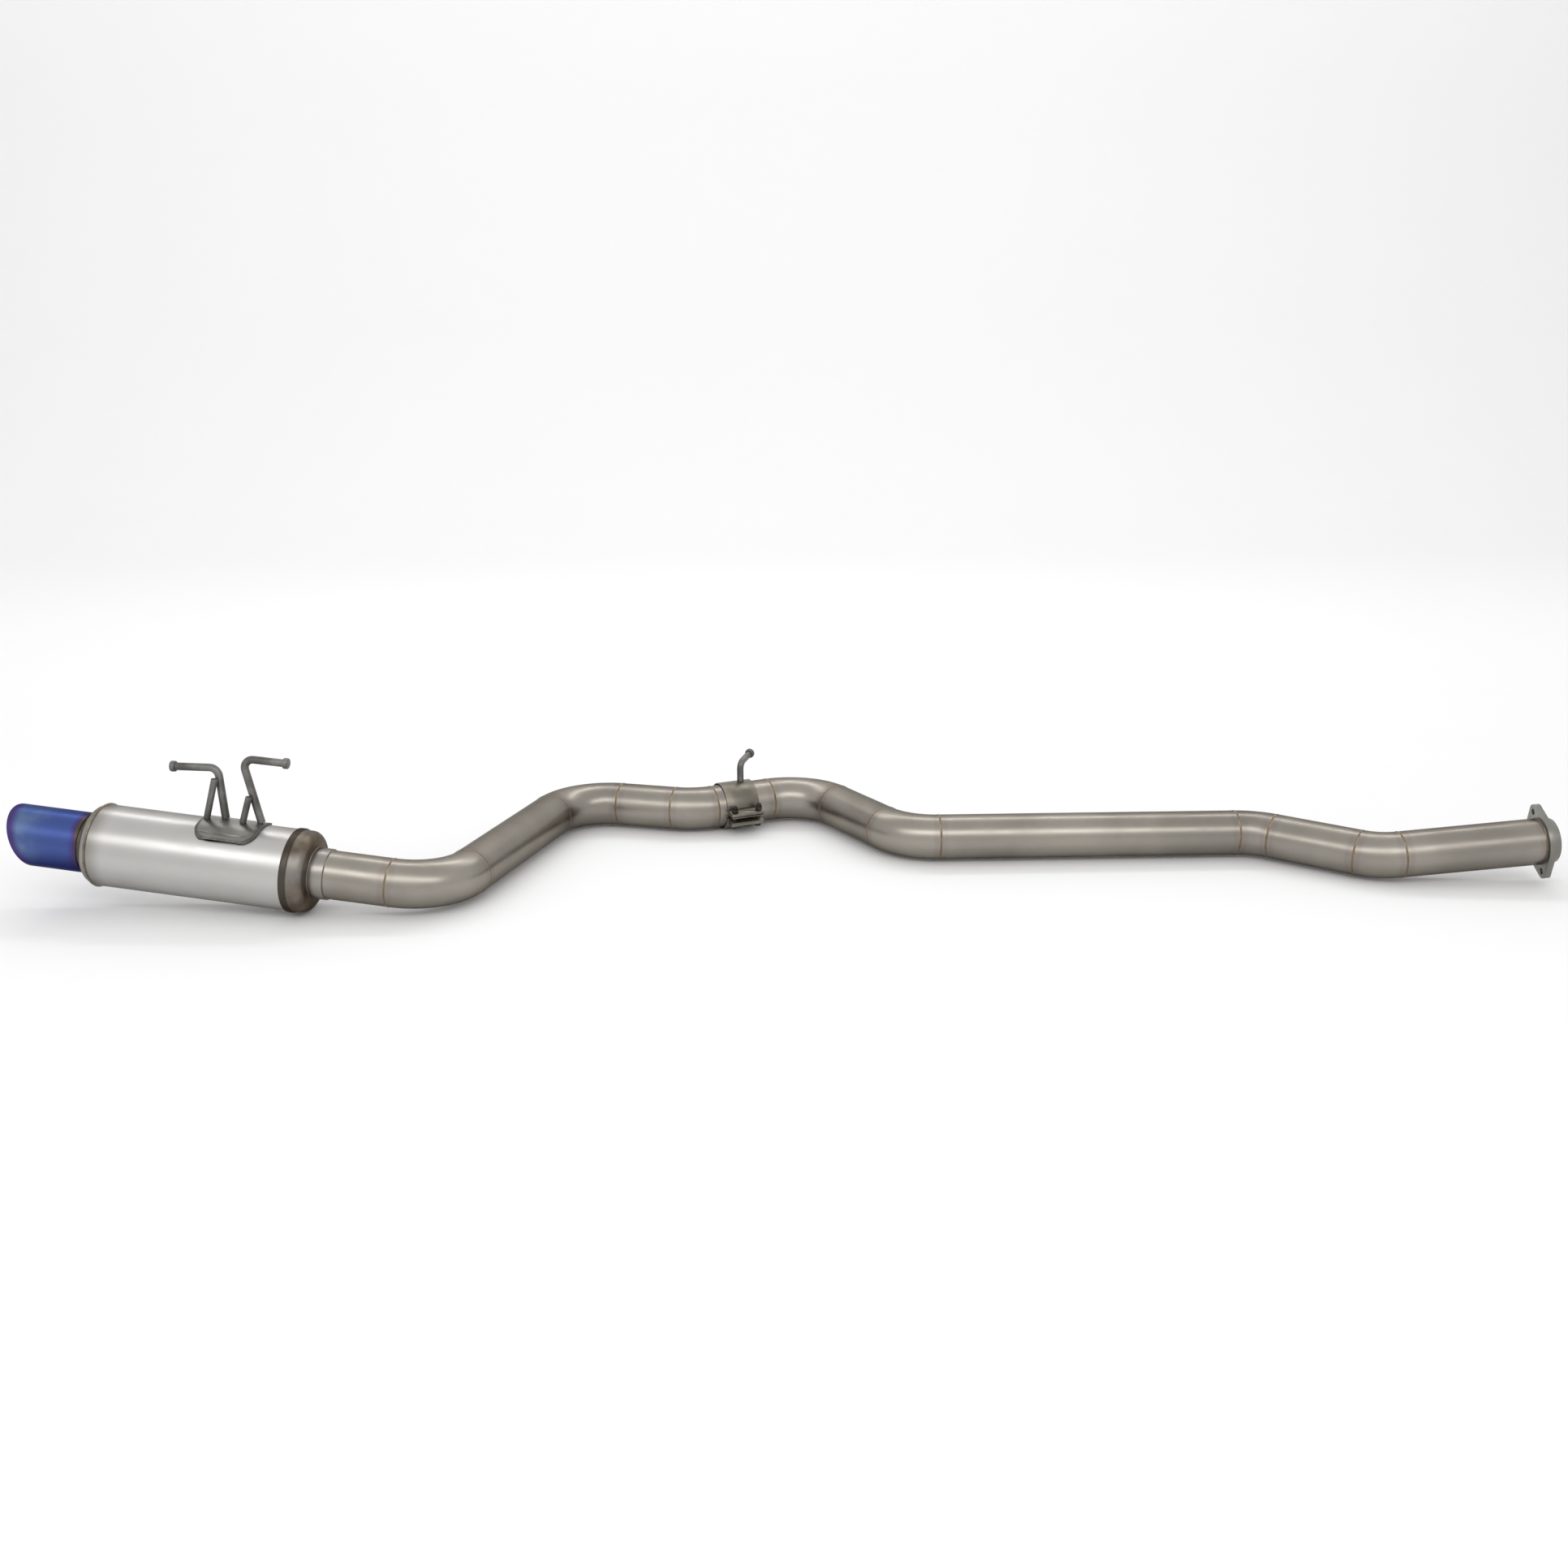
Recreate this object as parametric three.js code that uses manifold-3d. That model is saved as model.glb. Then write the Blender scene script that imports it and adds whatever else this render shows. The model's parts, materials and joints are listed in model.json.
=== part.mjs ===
// Single-exit racing exhaust: the piping from the front flange back to the muffler and its tip.
// Millimetres and degrees. X runs along the car with the front flange at +X, Y crosses the car and
// Z is up. The system lies on Z = 0 in its fitted attitude, with its hangers upwards.
// It has three parts: the mid section from the flange to a slip joint, the band clamp round that
// joint, and the rear section, which ends in the muffler.

import * as THREE from 'three';
import { mergeVertices } from 'three/addons/utils/BufferGeometryUtils.js';
import Module from 'manifold-3d';

const wasm = await Module();
wasm.setup();

// ---- Driving dimensions ----

// Piping. Each run goes rearwards from one corner of the centreline to the next, and its side angle
// is the angle that it makes with the car's length, positive towards +Y.
const pipeDiameter = 76.2;
const pipeWall = 1.5;
const bendRadius = 100;
const jointGap = 0.3;
const frontRun = { length: 266, side: 3 };
const linkRun = { length: 209, side: 38 };
const tunnelRun = { length: 604, side: 0 };
const riserRun = { length: 294, side: 60 };
const slipRun = { length: 232, side: -22 };
const kickRun = { length: 232, side: 16 };
const crossRun = { length: 479, side: -71 };
const tailSide = 7.5;
const tailRise = 6;
const flangeLift = 27.9;

// Front flange: a plate with two bolt ears, one above the other and both turned a little about
// the pipe, and a ring that centres a gasket.
const flangeThickness = 10;
const flangeBoltReach = 10.9;
const flangeBoltHole = 10.5;
const flangeEarRadius = 12;
const flangeRim = 7;
const flangeTurn = 22;
const pipeInset = 2;
const gasketRingReach = 12;
const gasketRingInsert = 12;

// Slip joint, placed by the distance of the socket's mouth from the corner ahead of it.
const socketMouth = 123;
const socketDepth = 56;
const socketSwage = 9;
const socketClearance = 0.5;
const spigotInsertion = 42;
const socketSlotCount = 4;
const socketSlotWidth = 4;
const socketSlotLength = 30;

// Band clamp.
const clampWidth = 62;
const clampBackset = -2;
const clampThickness = 1.5;
const clampClearance = 0.4;
const clampGap = 9;
const clampLug = 22;
const clampLugThickness = 2.5;
const clampTurnDown = 10;
const clampBarDepth = 5;
const clampBarWidth = 17;
const boltDiameter = 8;
const boltPitch = 46;
const boltStandOff = 12;
const boltHeadWidth = 13;
const boltHeadHeight = 6.4;
const boltThreadBeyondNut = 5;
const nutHeight = 6.5;
const shankInHead = 1;
const lugHoleClearance = 0.8;

// Muffler, along its own centreline from the corner of the last bend. The shares are of the step
// between the pipe's radius and the muffler's.
const collarStation = 179;
const collarLength = 24;
const collarWall = 1.6;
const mufflerDiameter = 128;
const mufflerWall = 1.2;
const capWall = 1.5;
const capShoulderShare = 0.54;
const capSkirt = 15;
const seamLip = 1.7;
const seamOverlap = 5;
const shellLength = 309;
const outletShoulderShare = 0.58;
const neckShare = 0.305;
const neckExposed = 8;
const neckOverlap = 11;
const neckWall = 1.5;
const coreReach = 8;
const perforationRows = 4;
const perforationsPerRow = 5;
const perforationDiameter = 10;
const perforationMargin = 40;
const woolThickness = 5;
const packingMargin = 5;

// Tip: its mouth is raked so that it is longer at the top, and its edge is rolled inwards.
const tipLength = 106;
const tipWall = 1.2;
const tipRake = 19;
const tipRollRadius = 4;
const tipRollReturn = 8;

// Hangers: bent round rods with a button at the end of each pin. Places along the muffler are from
// its seam, and heights are from the surface that the rods stand on.
const rodDiameter = 12;
const braceDiameter = 10;
const rodBendRadius = 14;
const buttonDiameter = 17;
const buttonLength = 8;
const buttonChamfer = 1.5;
const hangerOffset = 10;
const saddleThickness = 3;
const saddleLength = 98;
const saddleSpread = 42;
const saddleCorner = 22;
const saddleCentre = 102;
const rearHanger = { foot: 119, bend: 131, height: 80, pin: 74, pinHeight: 73 };
const frontHanger = { foot: 62, bend: 93, height: 100, pin: -74, pinHeight: 101 };
const rearBrace = { foot: 144, top: 131, height: 65 };
const frontBrace = { foot: 87, top: 77, height: 43 };
const clampRodStation = 11;
const clampRodHeight = 34;
const clampRodPin = new THREE.Vector3(29, -33, 9);

// Facets round the pipes, the slip joint, the muffler, the rods and the bolts, and in each small round.
const pipeFacets = 24;
const fineFacets = 48;
const mufflerFacets = 32;
const rodFacets = 8;
const buttonFacets = 10;
const boltFacets = 12;
const hexSides = 6;
const earFacets = 8;
const roundFacets = 3;
const bendStep = 12;
const rodStep = 10;

// ---- Sizes that follow from them ----

const pipeRadius = pipeDiameter / 2;
const pipeBore = pipeRadius - pipeWall;
const mufflerRadius = mufflerDiameter / 2;
const seamRadius = mufflerRadius + jointGap + seamLip;
const mufflerStep = mufflerRadius - pipeRadius;
const capShoulder = capShoulderShare * mufflerStep;
const outletShoulder = outletShoulderShare * mufflerStep;
const neckRadius = pipeRadius + neckShare * mufflerStep;
const tipRadius = neckRadius + jointGap + tipWall;
const rodRadius = rodDiameter / 2;
const boltRadius = boltDiameter / 2;
const socketBore = pipeRadius + socketClearance;
const socketRadius = socketBore + pipeWall;
const clampBore = socketRadius + clampClearance;
const clampRadius = clampBore + clampThickness;
const capStation = collarStation + collarLength;
const seamStation = capStation + capShoulder + capSkirt;
const shellEnd = seamStation + shellLength;
const outletStation = shellEnd + outletShoulder;
const tipStation = outletStation + neckExposed;
const woolRadius = pipeRadius + jointGap + woolThickness;

// ---- Materials ----

function metal(color, roughness, metalness) {
  return () => new THREE.MeshStandardMaterial({ color, roughness, metalness });
}

const satinSteel = metal(0x93897e, 0.38, 0.95);
const paleSteel = metal(0xb3ada4, 0.34, 0.95);
const brushedShell = metal(0xc6c4bd, 0.32, 0.9);
const tintedSteel = metal(0x6b5847, 0.42, 0.9);
const burntTitanium = metal(0x2c4a9c, 0.3, 0.9);
const darkRod = metal(0x5d5b55, 0.48, 0.85);
const clampSteel = metal(0x6f6a5c, 0.4, 0.9);
const darkBolt = metal(0x2f2d27, 0.5, 0.8);
const steelWool = metal(0x8a8a88, 0.9, 0.5);
const glassFibre = metal(0xe6dfc2, 0.95, 0);

// ---- Solids ----

function solidOf(geometry, matrix) {
  const plain = geometry.clone();
  plain.deleteAttribute('normal');
  plain.deleteAttribute('uv');
  if (matrix) {
    plain.applyMatrix4(matrix);
  }
  const merged = mergeVertices(plain);
  return new wasm.Manifold(new wasm.Mesh({
    numProp: 3,
    vertProperties: Float32Array.from(merged.attributes.position.array),
    triVerts: Uint32Array.from(merged.index.array),
  }));
}

function geometryOf(solid) {
  const mesh = solid.getMesh();
  const geometry = new THREE.BufferGeometry();
  geometry.setAttribute('position', new THREE.BufferAttribute(mesh.vertProperties, 3));
  geometry.setIndex(new THREE.BufferAttribute(mesh.triVerts, 1));
  geometry.computeVertexNormals();
  return geometry;
}

// Turns a closed outline of [radius, station] points about the Y axis.
function revolve(outline, facets) {
  const closed = [...outline, outline[0]];
  return new THREE.LatheGeometry(closed.map(([radius, y]) => new THREE.Vector2(radius, y)), facets);
}

function tube(start, end, outer, inner, facets) {
  return revolve([[inner, start], [outer, start], [outer, end], [inner, end]], facets);
}

// Points of a quarter round in an outline, between two angles about its centre.
function round(centreRadius, centreStation, radius, from, to) {
  const points = [];
  for (let i = 0; i <= roundFacets; i += 1) {
    const angle = THREE.MathUtils.degToRad(from + (to - from) * i / roundFacets);
    points.push([centreRadius + radius * Math.cos(angle), centreStation + radius * Math.sin(angle)]);
  }
  return points;
}

function circle(radius, facets) {
  const whole = new THREE.Shape().absarc(0, 0, radius, 0, 2 * Math.PI, false);
  return whole.getSpacedPoints(facets).slice(0, facets);
}

function annulus(outer, inner, facets) {
  const shape = new THREE.Shape(circle(outer, facets));
  shape.holes.push(new THREE.Path(circle(inner, facets)));
  return shape;
}

// ---- Centreline ----

function heading(side, rise) {
  const sideways = THREE.MathUtils.degToRad(side);
  const upwards = THREE.MathUtils.degToRad(rise);
  const level = Math.cos(upwards);
  return new THREE.Vector3(-level * Math.cos(sideways), level * Math.sin(sideways), Math.sin(upwards));
}

function riseOver(length, height) {
  return THREE.MathUtils.radToDeg(Math.asin(height / length));
}

// The muffler bend is as high as it takes for the muffler's seam to touch the ground.
const tailSlope = THREE.MathUtils.degToRad(tailRise);
const tailHeight = seamRadius * Math.cos(tailSlope) - seamStation * Math.sin(tailSlope);
const frontRise = riseOver(frontRun.length, -flangeLift);
const crossRise = riseOver(crossRun.length, tailHeight - pipeRadius);

const headings = [
  heading(frontRun.side, frontRise),
  heading(linkRun.side, 0),
  heading(tunnelRun.side, 0),
  heading(riserRun.side, 0),
  heading(slipRun.side, 0),
  heading(kickRun.side, 0),
  heading(crossRun.side, crossRise),
  heading(tailSide, tailRise),
];
const runs = [frontRun, linkRun, tunnelRun, riserRun, slipRun, kickRun, crossRun];
const corners = [new THREE.Vector3(0, 0, pipeRadius + flangeLift)];
for (const [i, run] of runs.entries()) {
  corners.push(corners[i].clone().addScaledVector(headings[i], run.length));
}

// The bend at a corner, as a circular arc that meets both runs.
class Bend extends THREE.Curve {
  constructor(corner, before, after, radius) {
    super();
    this.before = before;
    this.turn = before.angleTo(after);
    this.radius = radius;
    this.setback = radius * Math.tan(this.turn / 2);
    this.inward = after.clone().addScaledVector(before, -before.dot(after)).normalize();
    this.centre = corner.clone().addScaledVector(before, -this.setback);
    this.centre.addScaledVector(this.inward, radius);
  }

  getPoint(t, target = new THREE.Vector3()) {
    const angle = t * this.turn;
    return target
      .copy(this.centre)
      .addScaledVector(this.inward, -this.radius * Math.cos(angle))
      .addScaledVector(this.before, this.radius * Math.sin(angle));
  }
}

function cornerBend(i) {
  return new Bend(corners[i], headings[i - 1], headings[i], bendRadius);
}

const setbacks = corners.map((corner, i) => (i === 0 ? 0 : cornerBend(i).setback));

// A group with +Y along a run from its first corner, and +Z as near to up as the run allows.
function runGroup(i) {
  const group = new THREE.Group();
  const along = headings[i];
  const up = new THREE.Vector3(0, 0, 1).addScaledVector(along, -along.z).normalize();
  const across = new THREE.Vector3().crossVectors(along, up);
  group.position.copy(corners[i]);
  group.quaternion.setFromRotationMatrix(new THREE.Matrix4().makeBasis(across, along, up));
  return group;
}

const exhaust = new THREE.Group();
const runGroups = headings.map((direction, i) => runGroup(i));
exhaust.add(...runGroups);
const [frontLine, linkLine, tunnelLine, riserLine, slipLine, kickLine, crossLine, tailLine] = runGroups;

function piece(parent, name, geometry, material) {
  const mesh = new THREE.Mesh(geometry, material());
  mesh.name = name;
  parent.add(mesh);
  return mesh;
}

// ---- Pipes ----

function straightPipe(name, i, start, end) {
  piece(runGroups[i], name, tube(start, end, pipeRadius, pipeBore, pipeFacets), satinSteel);
}

// A straight pipe that fills what the bends at a run's two corners leave of it.
function pipeBetweenBends(name, i) {
  straightPipe(name, i, setbacks[i] + jointGap, runs[i].length - setbacks[i + 1] - jointGap);
}

function bentPipe(name, i) {
  const bend = cornerBend(i);
  const steps = Math.ceil(THREE.MathUtils.radToDeg(bend.turn) / bendStep);
  const shape = annulus(pipeRadius, pipeBore, pipeFacets);
  piece(exhaust, name, new THREE.ExtrudeGeometry(shape, { steps, extrudePath: bend }), satinSteel);
}

straightPipe('front_pipe', 0, pipeInset, runs[0].length - setbacks[1] - jointGap);
bentPipe('front_bend', 1);
pipeBetweenBends('link_pipe', 1);
bentPipe('tunnel_bend', 2);
pipeBetweenBends('tunnel_pipe', 2);
bentPipe('riser_bend', 3);
pipeBetweenBends('riser_pipe', 3);
bentPipe('axle_bend', 4);
bentPipe('kick_bend', 5);
pipeBetweenBends('kick_pipe', 5);
bentPipe('cross_bend', 6);
pipeBetweenBends('cross_pipe', 6);
bentPipe('muffler_bend', 7);
straightPipe('muffler_inlet_pipe', 7, setbacks[7] + jointGap, capStation + capShoulder);

// ---- Front flange ----

// The plate's outline: two straight-sided ears, one up and one down, on a round rim.
function flangeOutline() {
  const rim = pipeRadius + flangeRim;
  const earCentre = pipeRadius + flangeBoltReach;
  const tangentAngle = Math.acos((rim - flangeEarRadius) / earCentre);
  const upper = Math.PI / 2 - tangentAngle;
  const shape = new THREE.Shape();
  shape.absarc(0, earCentre, flangeEarRadius, upper, Math.PI - upper, false);
  shape.absarc(0, 0, rim, Math.PI - upper, Math.PI + upper, false);
  shape.absarc(0, -earCentre, flangeEarRadius, Math.PI + upper, 2 * Math.PI - upper, false);
  shape.absarc(0, 0, rim, -upper, upper, false);
  shape.holes.push(new THREE.Path(circle(pipeRadius + jointGap, pipeFacets * 2)));
  for (const side of [1, -1]) {
    const hole = circle(flangeBoltHole / 2, boltFacets);
    const placed = hole.map((point) => new THREE.Vector2(point.x, point.y + side * earCentre));
    shape.holes.push(new THREE.Path(placed));
  }
  return shape;
}

function frontFlange() {
  const plate = new THREE.ExtrudeGeometry(flangeOutline(), {
    depth: flangeThickness,
    bevelEnabled: false,
    curveSegments: earFacets,
  });
  // The outline's up becomes the run's up, and the plate's depth runs rearwards from the face.
  plate.rotateX(Math.PI / 2);
  plate.rotateY(THREE.MathUtils.degToRad(flangeTurn));
  plate.translate(0, flangeThickness, 0);
  piece(frontLine, 'inlet_flange', plate, paleSteel);
  const ringRadius = pipeBore - jointGap;
  const ring = tube(-gasketRingReach, gasketRingInsert, ringRadius, ringRadius - pipeWall, pipeFacets);
  piece(frontLine, 'gasket_ring', ring, paleSteel);
}

frontFlange();

// ---- Slip joint ----

function slipSpigot() {
  const start = setbacks[4] + jointGap;
  const end = socketMouth + spigotInsertion;
  piece(slipLine, 'slip_spigot', tube(start, end, pipeRadius, pipeBore, fineFacets), satinSteel);
}

// The socket is the rear pipe's end, opened out to take the spigot and slotted so that it can close.
function slipSocket() {
  const end = slipRun.length - setbacks[5] - jointGap;
  const floor = socketMouth + socketDepth;
  const swaged = floor + socketSwage;
  const body = solidOf(revolve([
    [socketBore, socketMouth],
    [socketRadius, socketMouth],
    [socketRadius, floor],
    [pipeRadius, swaged],
    [pipeRadius, end],
    [pipeBore, end],
    [pipeBore, swaged],
    [socketBore, floor],
  ], fineFacets));
  const slot = new THREE.BoxGeometry(socketSlotWidth, 2 * socketSlotLength, pipeDiameter);
  slot.translate(0, socketMouth, pipeDiameter / 2);
  let slotted = body;
  for (let i = 0; i < socketSlotCount; i += 1) {
    const turn = new THREE.Matrix4().makeRotationY((i + 0.5) * 2 * Math.PI / socketSlotCount);
    slotted = slotted.subtract(solidOf(slot, turn));
  }
  piece(slipLine, 'slip_socket', geometryOf(slotted), satinSteel);
}

slipSpigot();
slipSocket();

// ---- Band clamp ----

// The clamp's own group: +X points out through the gap between its lugs, towards -Y and a little down.
const clampStation = socketMouth + clampWidth / 2 + clampBackset;
const clamp = new THREE.Group();
clamp.position.set(0, clampStation, 0);
clamp.rotation.y = Math.PI - THREE.MathUtils.degToRad(clampTurnDown);
slipLine.add(clamp);

const lugHalfGap = clampGap / 2;
const lugOuter = lugHalfGap + clampLugThickness;
const barOuter = lugOuter + jointGap + clampBarDepth;
const boltReach = clampRadius + boltStandOff;
const drillLength = 4 * barOuter;

// A hole along the clamp's Z through both lugs or bars, for one of its two bolts.
function boltHole(side, radius) {
  const hole = new THREE.CylinderGeometry(radius, radius, drillLength, boltFacets);
  hole.rotateX(Math.PI / 2);
  hole.translate(boltReach, side * boltPitch / 2, 0);
  return solidOf(hole);
}

function drilled(geometry) {
  let solid = solidOf(geometry);
  for (const side of [1, -1]) {
    solid = solid.subtract(boltHole(side, boltRadius + lugHoleClearance));
  }
  return geometryOf(solid);
}

function clampBand() {
  const lugEnd = clampRadius + clampLug;
  const inner = Math.asin(lugHalfGap / clampBore);
  const outer = Math.asin(lugOuter / clampRadius);
  const shape = new THREE.Shape();
  shape.absarc(0, 0, clampRadius, outer, 2 * Math.PI - outer, false);
  shape.lineTo(lugEnd, -lugOuter);
  shape.lineTo(lugEnd, -lugHalfGap);
  shape.absarc(0, 0, clampBore, 2 * Math.PI - inner, inner, true);
  shape.lineTo(lugEnd, lugHalfGap);
  shape.lineTo(lugEnd, lugOuter);
  const band = new THREE.ExtrudeGeometry(shape, {
    depth: clampWidth,
    bevelEnabled: false,
    curveSegments: fineFacets / 2,
  });
  band.translate(0, 0, -clampWidth / 2);
  band.rotateX(Math.PI / 2);
  piece(clamp, 'clamp_band', drilled(band), clampSteel);
}

// A bar lies on the outside of each lug and spreads the pull of the two bolts along the band.
function clampBar(name, side) {
  const bar = new THREE.BoxGeometry(clampBarWidth, clampWidth, clampBarDepth);
  bar.translate(boltReach, 0, side * (lugOuter + jointGap + clampBarDepth / 2));
  piece(clamp, name, drilled(bar), clampSteel);
}

function clampBolt(number, side) {
  const hexRadius = boltHeadWidth / 2;
  const head = new THREE.CylinderGeometry(hexRadius, hexRadius, boltHeadHeight, hexSides);
  const under = barOuter + jointGap;
  head.rotateX(Math.PI / 2);
  head.translate(boltReach, side * boltPitch / 2, under + boltHeadHeight / 2);
  const tail = under + nutHeight + boltThreadBeyondNut;
  const shankTop = under + shankInHead;
  const shank = new THREE.CylinderGeometry(boltRadius, boltRadius, shankTop + tail, boltFacets);
  shank.rotateX(Math.PI / 2);
  shank.translate(boltReach, side * boltPitch / 2, (shankTop - tail) / 2);
  piece(clamp, `clamp_bolt_${number}`, geometryOf(solidOf(head).add(solidOf(shank))), darkBolt);
  const nut = new THREE.CylinderGeometry(hexRadius, hexRadius, nutHeight, hexSides);
  nut.rotateX(Math.PI / 2);
  nut.translate(boltReach, side * boltPitch / 2, -under - nutHeight / 2);
  const tapped = solidOf(nut).subtract(boltHole(side, boltRadius + jointGap));
  piece(clamp, `clamp_nut_${number}`, geometryOf(tapped), darkBolt);
}

clampBand();
clampBar('clamp_bar_upper', -1);
clampBar('clamp_bar_lower', 1);
clampBolt(1, 1);
clampBolt(2, -1);

// ---- Hanger rods ----

// A path of straight stretches through the points, with each corner rounded to one bend radius.
function rodPath(points, radius) {
  const path = new THREE.CurvePath();
  let from = points[0];
  for (let i = 1; i < points.length - 1; i += 1) {
    const before = points[i].clone().sub(points[i - 1]).normalize();
    const after = points[i + 1].clone().sub(points[i]).normalize();
    const bend = new Bend(points[i], before, after, radius);
    path.add(new THREE.LineCurve3(from, bend.getPoint(0)));
    path.add(bend);
    from = bend.getPoint(1);
  }
  path.add(new THREE.LineCurve3(from, points.at(-1)));
  return path;
}

// A round rod through the points, with a flat-faced button on its far end.
function hangerRod(parent, name, points) {
  const path = rodPath(points, rodBendRadius);
  const steps = Math.ceil(path.getLength() / rodStep);
  const section = new THREE.Shape(circle(rodRadius, rodFacets));
  const rod = solidOf(new THREE.ExtrudeGeometry(section, { steps, extrudePath: path }));
  const end = points.at(-1);
  const direction = end.clone().sub(points.at(-2)).normalize();
  const wide = buttonDiameter / 2;
  const button = revolve([
    [0, -buttonLength],
    [wide - buttonChamfer, -buttonLength],
    [wide, -buttonLength + buttonChamfer],
    [wide, -buttonChamfer],
    [wide - buttonChamfer, 0],
    [0, 0],
  ], buttonFacets);
  const turn = new THREE.Quaternion().setFromUnitVectors(new THREE.Vector3(0, 1, 0), direction);
  const place = new THREE.Matrix4().compose(end, turn, new THREE.Vector3(1, 1, 1));
  piece(parent, name, geometryOf(rod.add(solidOf(button, place))), darkRod);
}

// Height at which a leaning rod's end just clears a round surface of this radius beneath it.
function footHeight(surfaceRadius, across, radius, lean) {
  const nearest = Math.max(0, Math.abs(across) - radius);
  return Math.sqrt(surfaceRadius ** 2 - nearest ** 2) + radius * Math.sin(lean) + jointGap;
}

function clampHanger() {
  const station = -clampRodStation;
  const parent = new THREE.Group();
  parent.position.copy(clamp.position);
  slipLine.add(parent);
  const top = new THREE.Vector3(0, station, clampRadius + clampRodHeight);
  hangerRod(parent, 'clamp_hanger_rod', [
    new THREE.Vector3(0, station, footHeight(clampRadius, 0, rodRadius, 0)),
    top,
    top.clone().add(clampRodPin),
  ]);
}

clampHanger();

// ---- Muffler ----

function turned(name, outline, material) {
  piece(tailLine, name, revolve(outline, mufflerFacets), material);
}

function turnedTube(name, start, end, outer, wall, material) {
  piece(tailLine, name, tube(start, end, outer, outer - wall, mufflerFacets), material);
}

// Dished cap at the inlet end. Its skirt steps out at the seam into a lip folded over the shell.
function inletCap() {
  const shoulderStation = capStation + capShoulder;
  const innerShoulder = capShoulder - capWall;
  const bore = pipeRadius + jointGap;
  const seat = seamStation - jointGap;
  turned('inlet_cap', [
    [bore, capStation],
    ...round(mufflerRadius - capShoulder, shoulderStation, capShoulder, -90, 0),
    [mufflerRadius, seamStation - seamOverlap],
    [seamRadius, seamStation - seamOverlap + seamLip],
    [seamRadius, seamStation + seamOverlap],
    [mufflerRadius + jointGap, seamStation + seamOverlap],
    [mufflerRadius + jointGap, seat],
    [mufflerRadius - capWall, seat],
    ...round(mufflerRadius - capShoulder, shoulderStation, innerShoulder, 0, -90),
    [bore, capStation + capWall],
  ], tintedSteel);
}

function outletCap() {
  const start = shellEnd + jointGap;
  const centre = mufflerRadius - outletShoulder;
  const shoulderStation = outletStation - outletShoulder;
  const bore = pipeRadius + jointGap;
  turned('outlet_cap', [
    [mufflerRadius - capWall, start],
    [mufflerRadius, start],
    ...round(centre, shoulderStation, outletShoulder, 0, 90).slice(1),
    [bore, outletStation],
    [bore, outletStation - capWall],
    ...round(centre, shoulderStation, outletShoulder - capWall, 90, 0).slice(0, -1),
  ], brushedShell);
}

// The core carries the gas straight through. Its wall is pierced between the two caps.
function perforatedCore() {
  const start = capStation + capShoulder + jointGap;
  const end = outletStation + coreReach;
  let core = solidOf(tube(start, end, pipeRadius, pipeBore, mufflerFacets));
  const first = seamStation + perforationMargin;
  const spacing = (shellLength - 2 * perforationMargin) / (perforationRows - 1);
  const pitch = 2 * Math.PI / perforationsPerRow;
  const radius = perforationDiameter / 2;
  for (let row = 0; row < perforationRows; row += 1) {
    for (let i = 0; i < perforationsPerRow; i += 1) {
      const punch = new THREE.CylinderGeometry(radius, radius, pipeRadius, hexSides);
      punch.rotateX(Math.PI / 2);
      punch.translate(0, first + row * spacing, pipeRadius);
      const turn = new THREE.Matrix4().makeRotationY((i + row / 2) * pitch);
      core = core.subtract(solidOf(punch, turn));
    }
  }
  piece(tailLine, 'perforated_core', geometryOf(core), paleSteel);
}

const packingStart = seamStation + packingMargin;
const packingEnd = shellEnd - packingMargin;
const packingRadius = mufflerRadius - mufflerWall - jointGap;
const packingWall = packingRadius - woolRadius - jointGap;
const collarRadius = pipeRadius + jointGap + collarWall;

turnedTube('inlet_collar', collarStation, capStation - jointGap, collarRadius, collarWall, paleSteel);
inletCap();
turnedTube('muffler_shell', seamStation, shellEnd, mufflerRadius, mufflerWall, brushedShell);
outletCap();
perforatedCore();
turnedTube('steel_wool_wrap', packingStart, packingEnd, woolRadius, woolThickness, steelWool);
turnedTube('glass_packing', packingStart, packingEnd, packingRadius, packingWall, glassFibre);

const neckStart = outletStation + jointGap;
turnedTube('outlet_neck', neckStart, tipStation + neckOverlap, neckRadius, neckWall, tintedSteel);

// ---- Tip ----

function tip() {
  const rollCentre = tipRadius - tipRollRadius;
  const innerRoll = tipRollRadius - tipWall;
  const rollStation = tipLength - tipRollRadius;
  const lip = rollCentre - tipRollRadius;
  const geometry = revolve([
    [tipRadius - tipWall, 0],
    [tipRadius, 0],
    ...round(rollCentre, rollStation, tipRollRadius, 0, 90),
    ...round(rollCentre, rollStation, tipRollRadius, 90, 180).slice(1),
    [lip, rollStation - tipRollReturn],
    [lip + tipWall, rollStation - tipRollReturn],
    ...round(rollCentre, rollStation, innerRoll, 180, 0),
  ], mufflerFacets);
  // The rake moves every ring back at the top, in proportion to its distance from the root.
  const position = geometry.attributes.position;
  const slope = Math.tan(THREE.MathUtils.degToRad(tipRake));
  for (let i = 0; i < position.count; i += 1) {
    const share = position.getY(i) / tipLength;
    position.setY(i, position.getY(i) + position.getZ(i) * slope * share);
  }
  geometry.translate(0, tipStation, 0);
  piece(tailLine, 'exhaust_tip', geometry, burntTitanium);
}

tip();

// ---- Muffler hangers ----

const saddleInner = mufflerRadius + jointGap;
const saddleOuter = saddleInner + saddleThickness;

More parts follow.
